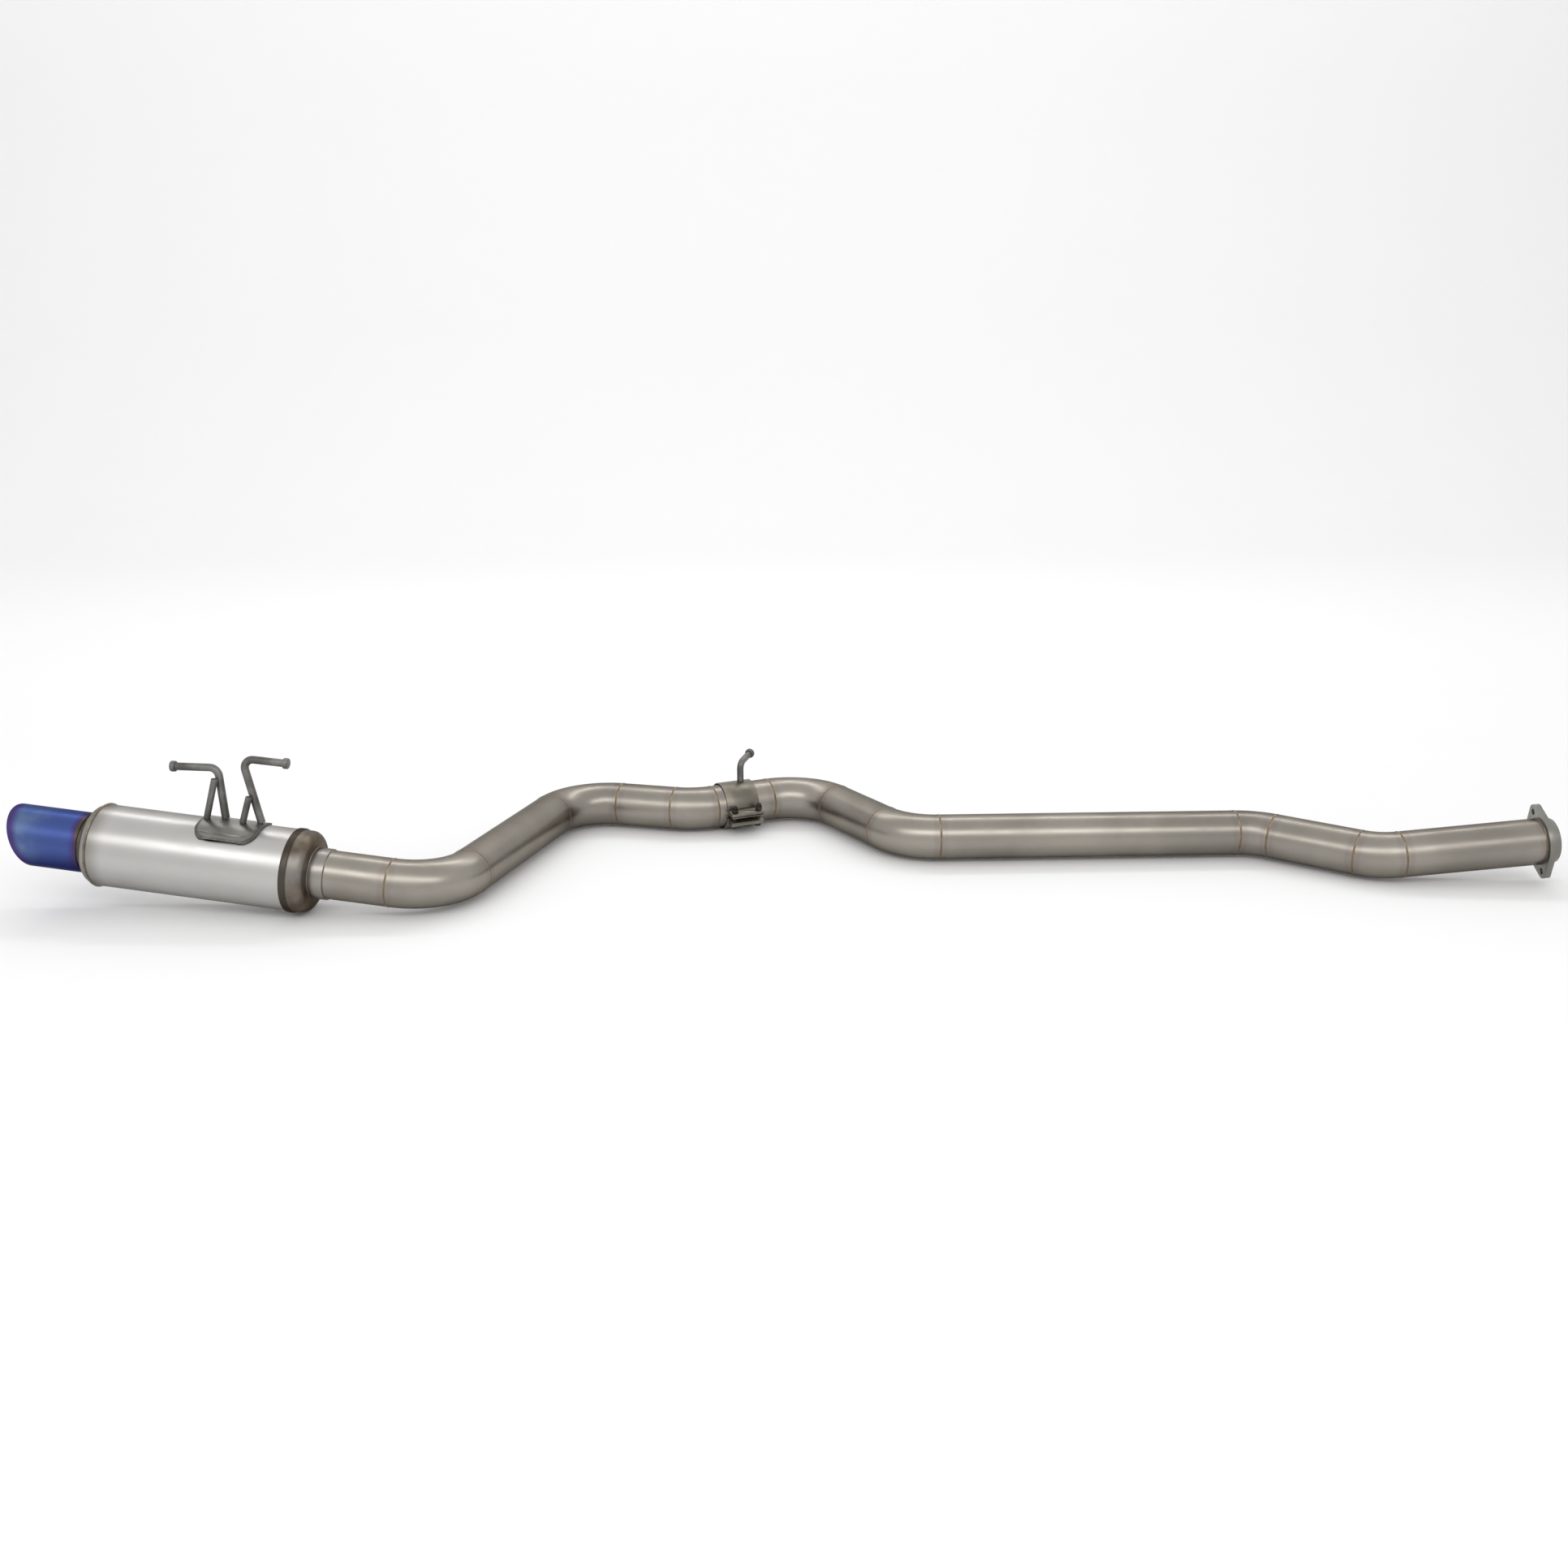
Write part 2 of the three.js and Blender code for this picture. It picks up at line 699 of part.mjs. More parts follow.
// A rectangle with round corners, by its two half sizes.
function roundedRectangle(halfWidth, halfLength, corner) {
  const inX = halfWidth - corner;
  const inY = halfLength - corner;
  const shape = new THREE.Shape();
  shape.absarc(inX, inY, corner, 0, Math.PI / 2, false);
  shape.absarc(-inX, inY, corner, Math.PI / 2, Math.PI, false);
  shape.absarc(-inX, -inY, corner, Math.PI, 1.5 * Math.PI, false);
  shape.absarc(inX, -inY, corner, 1.5 * Math.PI, 2 * Math.PI, false);
  return shape;
}

// A curved plate on top of the shell, with round corners, that the hanger rods stand on.
function hangerSaddle() {
  const spread = THREE.MathUtils.degToRad(saddleSpread);
  const shape = new THREE.Shape();
  shape.absarc(0, 0, saddleOuter, Math.PI / 2 - spread, Math.PI / 2 + spread, false);
  shape.absarc(0, 0, saddleInner, Math.PI / 2 + spread, Math.PI / 2 - spread, true);
  const plate = new THREE.ExtrudeGeometry(shape, {
    depth: saddleLength,
    bevelEnabled: false,
    curveSegments: fineFacets / 4,
  });
  plate.translate(0, 0, -saddleLength / 2);
  plate.rotateX(Math.PI / 2);
  const halfWidth = saddleOuter * Math.sin(spread);
  const cutter = new THREE.ExtrudeGeometry(roundedRectangle(halfWidth, saddleLength / 2, saddleCorner), {
    depth: 2 * mufflerRadius,
    bevelEnabled: false,
    curveSegments: earFacets,
  });
  const rounded = solidOf(plate).intersect(solidOf(cutter));
  const mesh = piece(tailLine, 'hanger_saddle', geometryOf(rounded), clampSteel);
  mesh.position.y = seamStation + saddleCentre;
}

// A point beside the muffler's top, by its place from the seam and its height above the saddle.
function aboveSaddle(across, place, height) {
  return new THREE.Vector3(across, seamStation + place, saddleOuter + height);
}

// The foot of a rod that leans towards its top end.
function rodFoot(across, place, radius, top) {
  const foot = aboveSaddle(across, place, 0);
  const lean = Math.atan2(Math.abs(top.y - foot.y), top.z - foot.z);
  foot.z = footHeight(saddleOuter, across, radius, lean);
  return foot;
}

// A rod up from the saddle that turns over into a pin along the muffler.
function mufflerHanger(name, size) {
  const bend = aboveSaddle(hangerOffset, size.bend, size.height);
  const end = aboveSaddle(hangerOffset, size.bend + size.pin, size.pinHeight);
  hangerRod(tailLine, name, [rodFoot(hangerOffset, size.foot, rodRadius, bend), bend, end]);
}

// A straight brace that stands beside a hanger rod and steadies it along the muffler.
function hangerBrace(name, size) {
  const radius = braceDiameter / 2;
  const across = hangerOffset - rodRadius - radius - jointGap;
  const top = aboveSaddle(across, size.top, size.height);
  const foot = rodFoot(across, size.foot, radius, top);
  const brace = new THREE.CylinderGeometry(radius, radius, foot.distanceTo(top), rodFacets);
  const mesh = piece(tailLine, name, brace, darkRod);
  mesh.position.copy(foot).add(top).multiplyScalar(0.5);
  mesh.quaternion.setFromUnitVectors(new THREE.Vector3(0, 1, 0), top.clone().sub(foot).normalize());
}

hangerSaddle();
mufflerHanger('rear_hanger_rod', rearHanger);
mufflerHanger('front_hanger_rod', frontHanger);
hangerBrace('rear_hanger_brace', rearBrace);
hangerBrace('front_hanger_brace', frontBrace);

// ---- Placing ----

// The whole exhaust is centred over the origin in plan and stands on Z = 0.
const box = new THREE.Box3().setFromObject(exhaust, true);
const centre = box.getCenter(new THREE.Vector3());
exhaust.position.set(-centre.x, -centre.y, -box.min.z);

export default exhaust;
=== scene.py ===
import json
import math

import bmesh
import bpy
import numpy as np
from mathutils import Matrix, Vector


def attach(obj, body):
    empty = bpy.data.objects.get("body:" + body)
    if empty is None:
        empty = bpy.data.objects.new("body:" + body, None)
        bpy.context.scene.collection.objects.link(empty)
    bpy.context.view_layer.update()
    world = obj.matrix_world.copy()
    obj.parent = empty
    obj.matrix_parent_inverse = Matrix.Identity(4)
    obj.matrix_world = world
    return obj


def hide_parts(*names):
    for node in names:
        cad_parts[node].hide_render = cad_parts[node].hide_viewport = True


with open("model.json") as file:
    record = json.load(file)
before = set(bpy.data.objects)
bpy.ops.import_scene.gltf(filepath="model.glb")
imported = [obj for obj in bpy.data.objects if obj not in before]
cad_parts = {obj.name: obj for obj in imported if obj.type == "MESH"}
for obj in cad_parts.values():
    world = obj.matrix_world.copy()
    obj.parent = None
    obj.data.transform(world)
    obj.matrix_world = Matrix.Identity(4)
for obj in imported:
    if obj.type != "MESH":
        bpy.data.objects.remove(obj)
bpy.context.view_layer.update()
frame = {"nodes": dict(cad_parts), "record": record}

bl_info = {
    "name": "Racing Exhaust",
    "version": (1, 0, 0),
    "blender": (4, 5, 0),
    "location": "3D View > Sidebar > Exhaust",
    "description": "Builds the finished look of a racing exhaust round its CAD frame",
    "category": "Object",
}

UP = Vector((0, 0, 1))
ROUND = 96
FINE_ROUND = 144
BAND_ROUND = 192
ROD_ROUND = 28
ROD_BEND_STEPS = 10
CREASE = math.radians(32)
JOINT_GAP = 0.0003
MERGE = 1e-6
EDGE_SHADE = (0.42, 0.41, 0.40)
# Painted shade: the deep blue that darkens the bottom of the tip.
PAINTED_SHADE_BLUE = (0.026, 0.032, 0.13)
BUILDERS = []
MADE = {}


# ---- Places read from the CAD nodes ----


def corners_of(node):
    """The separate corners of a CAD node's mesh, as rows of x, y, z."""
    mesh = frame["nodes"][node].data
    flat = np.empty(len(mesh.vertices) * 3)
    mesh.vertices.foreach_get("co", flat)
    return np.unique(flat.reshape(-1, 3).round(6), axis=0)


class Axis:
    """The rearward centreline of a turned CAD node, with its ends and outer radius."""

    def __init__(self, node, beside=None):
        points = corners_of(node)
        if beside is None:
            middle = points.mean(0)
            spread, ways = np.linalg.svd(points - middle, full_matrices=False)[1:]
            odd = 0 if spread[0] - spread[1] > spread[1] - spread[2] else 2
            self.way = Vector(ways[odd])
            if self.way.x > 0:
                self.way.negate()
            origin = Vector(middle)
        else:
            self.way = beside.way.copy()
            origin = beside.start
        along = (points - np.array(origin)) @ np.array(self.way)
        across = points - np.array(origin) - np.outer(along, np.array(self.way))
        self.start = origin + self.way * along.min()
        self.end = origin + self.way * along.max()
        self.radius = float(np.linalg.norm(across, axis=1).max())
        self.length = (self.end - self.start).length
        self.up = (UP - self.way * UP.dot(self.way)).normalized()

    def at(self, distance):
        return self.start + self.way * distance

    def place(self, distance=0.0):
        """A matrix with Z along the axis and Y as near to straight up as it can be."""
        across = self.up.cross(self.way)
        turn = Matrix((across, self.up, self.way)).transposed().to_4x4()
        return Matrix.Translation(self.at(distance)) @ turn


PIPE_NODES = (
    "front_pipe",
    "link_pipe",
    "tunnel_pipe",
    "riser_pipe",
    "slip_spigot",
    "kick_pipe",
    "cross_pipe",
    "muffler_inlet_pipe",
)
AXES = {node: Axis(node) for node in PIPE_NODES}
SHELL = Axis("muffler_shell")
SHARED_AXES = (
    (SHELL, ("inlet_collar", "inlet_cap", "outlet_cap", "outlet_neck", "exhaust_tip")),
    (AXES["slip_spigot"], ("slip_socket", "clamp_band")),
    (AXES["front_pipe"], ("inlet_flange", "gasket_ring")),
)
for shared, turned_nodes in SHARED_AXES:
    for turned_node in turned_nodes:
        AXES[turned_node] = Axis(turned_node, shared)
PIPE_RADIUS = AXES["tunnel_pipe"].radius

BENDS = {
    "front_bend": ("front_pipe", "link_pipe"),
    "tunnel_bend": ("link_pipe", "tunnel_pipe"),
    "riser_bend": ("tunnel_pipe", "riser_pipe"),
    "axle_bend": ("riser_pipe", "slip_spigot"),
    "kick_bend": ("slip_socket", "kick_pipe"),
    "cross_bend": ("kick_pipe", "cross_pipe"),
    "muffler_bend": ("cross_pipe", "muffler_inlet_pipe"),
}
BODY_OF = {
    node: body
    for body, nodes in frame["record"]["behaviour"]["bodies"].items()
    for node in nodes
}


def weld_rings():
    """Every round weld, as (body, centre, way, radius of the ring that it runs round)."""
    rings = []
    for bend, (before, after) in BENDS.items():
        rings.append((BODY_OF[bend], AXES[before].end, AXES[before].way, PIPE_RADIUS))
        rings.append((BODY_OF[bend], AXES[after].start, AXES[after].way, PIPE_RADIUS))
    rear = BODY_OF["muffler_shell"]
    collar, neck = AXES["inlet_collar"], AXES["outlet_neck"]
    rings.append((rear, collar.start, collar.way, PIPE_RADIUS))
    rings.append((rear, AXES["inlet_cap"].start, collar.way, collar.radius))
    rings.append((rear, neck.start, neck.way, neck.radius))
    rings.append((rear, AXES["outlet_cap"].start, neck.way, SHELL.radius))
    flange = AXES["inlet_flange"]
    rings.append((BODY_OF["inlet_flange"], flange.end, flange.way, PIPE_RADIUS))
    return rings


WELDS = weld_rings()


# ---- Sizes, colours and the studio, as a user would change them ----


def length(name, description, default):
    return bpy.props.FloatProperty(
        name=name, description=description, default=default, min=0, unit="LENGTH"
    )


def colour(name, description, default):
    return bpy.props.FloatVectorProperty(
        name=name,
        description=description,
        default=default,
        size=3,
        min=0,
        max=1,
        subtype="COLOR",
    )


def share(name, description, default):
    return bpy.props.FloatProperty(
        name=name,
        description=description,
        default=default,
        min=0,
        max=1,
        subtype="FACTOR",
    )


class ExhaustSizes(bpy.types.PropertyGroup):
    pipe_wall: length("Pipe wall", "Thickness of the pipe", 0.0015)
    weld_width: length("Weld width", "Width of a pipe weld", 0.0048)
    weld_height: length("Weld height", "How far a weld stands proud", 0.0007)
    weld_ripples: bpy.props.IntProperty(
        name="Weld ripples",
        description="Ripples round one pipe weld",
        default=150,
        min=1,
    )
    sheet_wall: length("Sheet wall", "Thickness of the muffler's sheet", 0.0013)
    cap_shoulder: length("Inlet shoulder", "Round at the edge of the inlet cap", 0.014)
    tail_shoulder: length(
        "Outlet shoulder", "Round at the edge of the outlet cap", 0.015
    )
    seam_width: length("Seam width", "Width of the folded seam", 0.010)
    seam_lip: length(
        "Seam lip", "How far the folded seam stands out of the shell", 0.002
    )
    tip_rake: bpy.props.FloatProperty(
        name="Tip rake",
        description="Slant of the tip's mouth",
        default=math.radians(19),
        subtype="ANGLE",
    )
    tip_length: length("Tip length", "Length of the tip on its centreline", 0.106)
    tip_roll: length("Tip roll", "Radius of the rolled edge of the mouth", 0.004)
    tip_wall: length("Tip wall", "Thickness of the tip", 0.0012)
    rod: length("Rod", "Diameter of a hanger rod", 0.012)
    brace: length("Brace", "Diameter of a hanger's brace", 0.010)
    rod_bend: length("Rod bend", "Bend radius of a hanger rod", 0.014)
    button: length("Button", "Diameter of the button on a hanger's end", 0.017)
    button_length: length("Button length", "Length of that button", 0.008)


class ExhaustFinishes(bpy.types.PropertyGroup):
    pipe: colour("Pipe", "Satin stainless of the pipes", (0.30, 0.276, 0.242))
    flange: colour("Flange", "Pale stainless of the flange", (0.24, 0.235, 0.215))
    shell: colour("Shell", "Bright sheet of the muffler", (0.50, 0.49, 0.475))
    tint: colour(
        "Heat tint", "Brown of the hottest stainless pieces", (0.155, 0.125, 0.095)
    )
    blue: colour("Burnt blue", "Main colour of the burnt tip", (0.065, 0.10, 0.30))
    pale_blue: colour(
        "Pale blue", "Colour of the tip near its mouth", (0.12, 0.18, 0.33)
    )
    violet: colour("Violet", "Colour of the tip's edge and root", (0.075, 0.04, 0.17))
    rod: colour("Rod", "Bare steel of the hanger rods", (0.17, 0.165, 0.155))
    clamp: colour("Clamp", "Dull stainless of the clamp", (0.22, 0.20, 0.165))
    bolt: colour("Bolt", "Dark steel of the bolts", (0.035, 0.032, 0.024))
    soot: colour("Soot", "Soot inside the core", (0.03, 0.027, 0.025))
    satin: share("Satin", "Roughness of the pipes", 0.30)
    weld_heat: share("Weld heat", "Strength of the heat tint beside the welds", 0.22)


class StudioSettings(bpy.types.PropertyGroup):
    eye: bpy.props.FloatVectorProperty(
        name="Eye",
        description="Place of the camera",
        default=(-0.1179, -2.3527, 0.8705),
        subtype="TRANSLATION",
        unit="LENGTH",
    )
    aim: bpy.props.FloatVectorProperty(
        name="Aim",
        description="Turn of the camera",
        default=tuple(math.radians(a) for a in (72.728, 0.062, -2.312)),
        subtype="EULER",
    )
    lens: bpy.props.FloatProperty(
        name="Lens",
        description="Focal length of the camera, in millimetres",
        default=33.54,
    )
    room: bpy.props.FloatProperty(
        name="Room", description="Brightness of the room", default=0.88, min=0
    )
    floor: colour("Floor", "Colour of the floor and the backdrop", (0.86, 0.86, 0.86))


# ---- Modelling by hand ----


def bench():
    """Clears the bench: out of edit mode, with nothing selected."""
    if bpy.context.object and bpy.context.object.mode != "OBJECT":
        bpy.ops.object.mode_set(mode="OBJECT")
    bpy.ops.object.select_all(action="DESELECT")


def edit(action="SELECT"):
    bpy.ops.object.mode_set(mode="EDIT")
    bpy.ops.mesh.select_mode(type="VERT")
    bpy.ops.mesh.select_all(action=action)


def leave_edit():
    bpy.ops.object.mode_set(mode="OBJECT")


def only(obj):
    bench()
    obj.select_set(True)
    bpy.context.view_layer.objects.active = obj


def pick(obj, wanted, kind="verts"):
    """In edit mode, selects the vertices, edges or faces for which wanted is true."""
    bpy.ops.mesh.select_all(action="DESELECT")
    mode = {"verts": "VERT", "edges": "EDGE", "faces": "FACE"}[kind]
    bpy.ops.mesh.select_mode(type=mode)
    shape = bmesh.from_edit_mesh(obj.data)
    for part in getattr(shape, kind):
        if wanted(part):
            part.select_set(True)
    shape.select_flush_mode()
    bmesh.update_edit_mesh(obj.data)


def grow(step):
    """Extrudes what is selected by a step."""
    bpy.ops.mesh.extrude_region_move(TRANSFORM_OT_translate={"value": tuple(step)})


def face_out():
    bpy.ops.mesh.normals_make_consistent(inside=False)


def merge():
    bpy.ops.mesh.remove_doubles(threshold=MERGE)


def apply_all(obj):
    only(obj)
    for modifier in list(obj.modifiers):
        bpy.ops.object.modifier_apply(modifier=modifier.name)


def soften(obj, width, segments=2, angle=CREASE):
    """Rounds every edge that is sharper than an angle."""
    bevel = obj.modifiers.new("edges", "BEVEL")
    bevel.width = width
    bevel.segments = segments
    bevel.limit_method = "ANGLE"
    bevel.angle_limit = angle
    bevel.harden_normals = False
    apply_all(obj)


def place(obj, matrix):
    """Moves a piece from the bench to its place and leaves the place in its mesh."""
    obj.matrix_world = matrix
    only(obj)
    bpy.ops.object.transform_apply(location=True, rotation=True, scale=True)


def turned(name, profile, segments=ROUND):
    """Turns a closed profile of (radius, height, slope) points about Z, ring by ring.

    Each ring is extruded from the last one, and scaled. A slope tilts a ring so that it
    rises towards +Y while it stays round from above."""
    bench()
    radius, height, slope = profile[0]
    bpy.ops.mesh.primitive_circle_add(
        vertices=segments, radius=radius, location=(0, 0, height)
    )
    obj = bpy.context.object
    obj.name = name
    bpy.ops.object.transform_apply(location=True, rotation=False, scale=False)
    edit()
    for next_radius, next_height, next_slope in profile[1:]:
        grow((0, 0, next_height - height))
        centre = (0, 0, next_height)
        wide = next_radius / radius
        if next_slope and not slope:
            angle = math.atan(next_slope)
            bpy.ops.transform.rotate(
                value=-angle, orient_axis="X", center_override=centre
            )
            tall = wide / math.cos(angle)
            bpy.ops.transform.resize(value=(wide, tall, tall), center_override=centre)
        else:
            tall = wide * next_slope / slope if slope else 1
            bpy.ops.transform.resize(value=(wide, wide, tall), center_override=centre)
        radius, height, slope = next_radius, next_height, next_slope
    bpy.ops.mesh.select_all(action="SELECT")
    merge()
    face_out()
    leave_edit()
    return obj


def closed(points):
    """A level profile for turned(), which ends where it starts."""
    return [(radius, height, 0) for radius, height in [*points, points[0]]]


def arc(radius, height, size, start, end, steps=8):
    """Points of a round in a profile, between two angles in degrees."""
    angles = np.radians(np.linspace(start, end, steps + 1))
    return [(radius + size * math.cos(a), height + size * math.sin(a)) for a in angles]


def ring_at(name, centre, way, radius, segments):
    bench()
    bpy.ops.mesh.primitive_circle_add(
        vertices=segments,
        radius=radius,
        location=centre,
        rotation=way.to_track_quat("Z", "Y").to_euler(),
    )
    obj = bpy.context.object
    obj.name = name
    bpy.ops.object.transform_apply(location=True, rotation=True, scale=True)
    edit()
    return obj


def sweep_round(centre, axle, angle, steps):
    bpy.ops.mesh.spin(
        steps=steps, angle=-angle, center=tuple(centre), axis=tuple(axle), dupli=False
    )


def thicken(obj, thickness, side):
    """Gives a sheet its thickness, outwards for a side of 1 and inwards for -1."""
    wall = obj.modifiers.new("wall", "SOLIDIFY")
    wall.thickness = thickness
    wall.offset = side
    wall.use_even_offset = True
    apply_all(obj)


def hollow(obj, wall):
    """Gives a skin its wall, inwards from the skin."""
    edit()
    merge()
    face_out()
    leave_edit()
    thicken(obj, wall, -1)


def from_cad(name, node):
    """A merged copy of a CAD node's mesh with its flat faces whole again."""
    bench()
    obj = frame["nodes"][node].copy()
    obj.data = obj.data.copy()
    obj.name = name
    for key in list(obj.keys()):
        if key.startswith("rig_"):
            del obj[key]
    obj.parent = None
    bpy.context.scene.collection.objects.link(obj)
    obj.data.materials.clear()
    only(obj)
    edit()
    merge()
    bpy.ops.mesh.dissolve_limited(angle_limit=math.radians(1))
    face_out()
    leave_edit()
    return obj


def mark_surface(obj, axis=None, centreline=None):
    """Stores on each vertex its distance from a weld and its distance along its pipe."""
    mesh = obj.data
    flat = np.empty(len(mesh.vertices) * 3)
    mesh.vertices.foreach_get("co", flat)
    points = flat.reshape(-1, 3)
    nearest = np.full(len(points), 1.0)
    for _, centre, way, radius in WELDS:
        offset = points - np.array(centre)
        along = offset @ np.array(way)
        across = np.linalg.norm(offset - np.outer(along, np.array(way)), axis=1)
        nearest = np.minimum(nearest, np.hypot(across - radius, along))
    if axis is not None:
        run = (points - np.array(axis.start)) @ np.array(axis.way)
    else:
        centre, start, axle, radius = (np.array(x) for x in centreline)
        offset = points - centre
        first = start / np.linalg.norm(start)
        second = np.cross(axle, first)
        run = np.arctan2(offset @ second, offset @ first) * radius
    for key, values in (("weld", nearest), ("run", run)):
        attribute = mesh.attributes.new(key, "FLOAT", "POINT")
        attribute.data.foreach_set("value", values.astype(np.float32))


def finish_piece(obj, material, node=None, body=None):
    """Shades a piece, gives it its material and sets it on its CAD node's body."""
    only(obj)
    bpy.ops.object.shade_smooth_by_angle(angle=CREASE)
    obj.data.materials.clear()
    obj.data.materials.append(material)
    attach(obj, body or BODY_OF[node])
    if node:
        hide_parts(node)


def swept_rod(name, points, radius, bend_radius):
    """A round rod through the points, with closed ends and one radius at its bends."""
    ways = [(b - a).normalized() for a, b in zip(points, points[1:])]
    obj = ring_at(name, points[0], ways[0], radius, ROD_ROUND)
    here = points[0]
    for corner, before, after in zip(points[1:], ways, ways[1:]):
        angle = before.angle(after)
        setback = bend_radius * math.tan(angle / 2)
        stop = corner - before * setback
        grow(stop - here)
        axle = before.cross(after).normalized()
        centre = stop + axle.cross(before) * bend_radius
        sweep_round(centre, axle, angle, ROD_BEND_STEPS)
        here = corner + after * setback
    grow(points[-1] - here)
    bpy.ops.mesh.select_all(action="SELECT")
    merge()
    pick(obj, lambda edge: edge.is_boundary, "edges")
    bpy.ops.mesh.edge_face_add()
    bpy.ops.mesh.select_all(action="SELECT")
    face_out()
    leave_edit()
    return obj


# ---- Materials ----


class Value:
    """A number, vector or colour on its way through a material's nodes."""

    def __init__(self, tree, socket=None):
        self.tree = tree
        self.socket = socket

    def node(self, kind, settings, inputs, output=0):
        """Adds a node, sets it, feeds its sockets and gives one of its outputs."""
        made = self.tree.nodes.new(kind)
        for name, setting in settings.items():
            if name == "stops":
                while len(made.color_ramp.elements) < len(setting):
                    made.color_ramp.elements.new(1)
                for stop, (position, shade) in zip(made.color_ramp.elements, setting):
                    stop.position = position
                    stop.color = (*shade, 1)
            else:
                setattr(made, name, setting)
        for name, value in inputs.items():
            if isinstance(value, Value):
                self.tree.links.new(value.socket, made.inputs[name])
            else:
                made.inputs[name].default_value = value
        return Value(self.tree, made.outputs[output])

    def maths(self, operation, *values):
        settings = {"operation": operation}
        return self.node("ShaderNodeMath", settings, dict(enumerate(values)))

    def __add__(self, other):
        return self.maths("ADD", self, other)

    def __sub__(self, other):
        return self.maths("SUBTRACT", self, other)

    def __rsub__(self, other):
        return self.maths("SUBTRACT", other, self)

    def __mul__(self, other):
        return self.maths("MULTIPLY", self, other)

    def __truediv__(self, other):
        return self.maths("DIVIDE", self, other)

    __radd__ = __add__
    __rmul__ = __mul__

    def between(self, low, high, first=0.0, last=1.0):
        """Eases from first to last as this value goes from low to high."""
        inputs = {0: self, 1: low, 2: high, 3: first, 4: last}
        return self.node(
            "ShaderNodeMapRange", {"interpolation_type": "SMOOTHSTEP"}, inputs
        )

    def mix(self, first, second):
        """Goes from one colour to another as this value goes from 0 to 1."""
        ends = {
            6: first if isinstance(first, Value) else (*first, 1),
            7: second if isinstance(second, Value) else (*second, 1),
        }
        return self.node("ShaderNodeMix", {"data_type": "RGBA"}, {0: self, **ends}, 2)


class Finish:
    """A material in the making, with the patterns that the finishes share."""

    def __init__(self, name):
        self.material = bpy.data.materials.new(name)
        self.material.use_nodes = True
        tree = self.material.node_tree
        self.shader = tree.nodes["Principled BSDF"]
        self.tools = Value(tree)
        self.here = self.tools.node("ShaderNodeTexCoord", {}, {}, "Object")

    def mottle(self, scale, detail=3.0):
        """Cloudy noise from 0 to 1, with a scale in patches to the metre."""
        inputs = {"Vector": self.here, "Scale": scale, "Detail": detail}
        return self.tools.node("ShaderNodeTexNoise", {}, inputs, "Fac")

    def stored(self, name):
        return self.tools.node(
            "ShaderNodeAttribute", {"attribute_name": name}, {}, "Fac"
        )

    def lathe_lines(self, scale):
        """Fine lines round a pipe, as polishing leaves them, a little broken up."""
        along = self.stored("run") + self.mottle(9) * 0.0012
        inputs = {"W": along, "Scale": scale, "Detail": 4.0}
        return self.tools.node(
            "ShaderNodeTexNoise", {"noise_dimensions": "1D"}, inputs, "Fac"
        )

    def bump(self, height, strength, distance):
        inputs = {"Height": height, "Strength": strength, "Distance": distance}
        return self.tools.node("ShaderNodeBump", {}, inputs)

    def set(self, **values):
        for name, value in values.items():
            socket = self.shader.inputs[name.replace("_", " ").title()]
            if isinstance(value, Value):
                self.tools.tree.links.new(value.socket, socket)
            elif socket.type == "RGBA":
                socket.default_value = (*value, 1)
            else:
                socket.default_value = value
        return self.material


def finish_named(make):
    """Makes each finish once, however many pieces wear it."""

    def made(*extra):
        key = (make.__name__, *extra)
        if key not in MADE:
            MADE[key] = make(bpy.context.scene.exhaust_finishes, *extra)
        return MADE[key]

    return made


def scaled(shade, factor):
    return tuple(min(1.0, part * factor) for part in shade)


def heat_beside_welds(finish, base, strength):
    """Straw, brown and blue bands that fade into the base colour away from a weld."""
    distance = finish.stored("weld") + (finish.mottle(60) - 0.5) * 0.006
    bands = finish.tools.node(
        "ShaderNodeValToRGB",
        {
            "stops": [
                (0.00, (0.16, 0.13, 0.10)),
                (0.18, (0.30, 0.19, 0.08)),
                (0.34, (0.20, 0.10, 0.10)),
                (0.50, (0.10, 0.12, 0.22)),
                (0.72, (0.28, 0.28, 0.30)),
            ]
        },
        {"Fac": distance / 0.022},
        "Color",
    )
    fade = distance.between(0.002, 0.021, strength, 0.0)
    return fade.mix(base, bands)


@finish_named
def satin_pipe(finishes):
    finish = Finish("satin_stainless_pipe")
    cloud = finish.mottle(7, 5.0)
    base = cloud.between(0.3, 0.7).mix(
        scaled(finishes.pipe, 0.86), scaled(finishes.pipe, 1.12)
    )
    lines = finish.lathe_lines(900)
    smears = finish.mottle(26, 4.0).between(0.35, 0.75)
    return finish.set(
        base_color=heat_beside_welds(finish, base, finishes.weld_heat),
        metallic=1.0,
        specular_tint=EDGE_SHADE,
        roughness=finishes.satin - 0.05 + 0.08 * lines + 0.07 * smears,
        normal=finish.bump(lines, 0.05, 0.0003),
    )


@finish_named
def pale_plate(finishes):
    finish = Finish("pale_stainless_plate")
    cloud = finish.mottle(30, 5.0).between(0.3, 0.7)
    grain = finish.mottle(700, 3.0)
    base = cloud.mix(scaled(finishes.flange, 0.85), scaled(finishes.flange, 1.1))
    return finish.set(
        base_color=base,
        metallic=1.0,
        roughness=0.30 + 0.14 * grain,
        normal=finish.bump(grain, 0.15, 0.0003),
    )


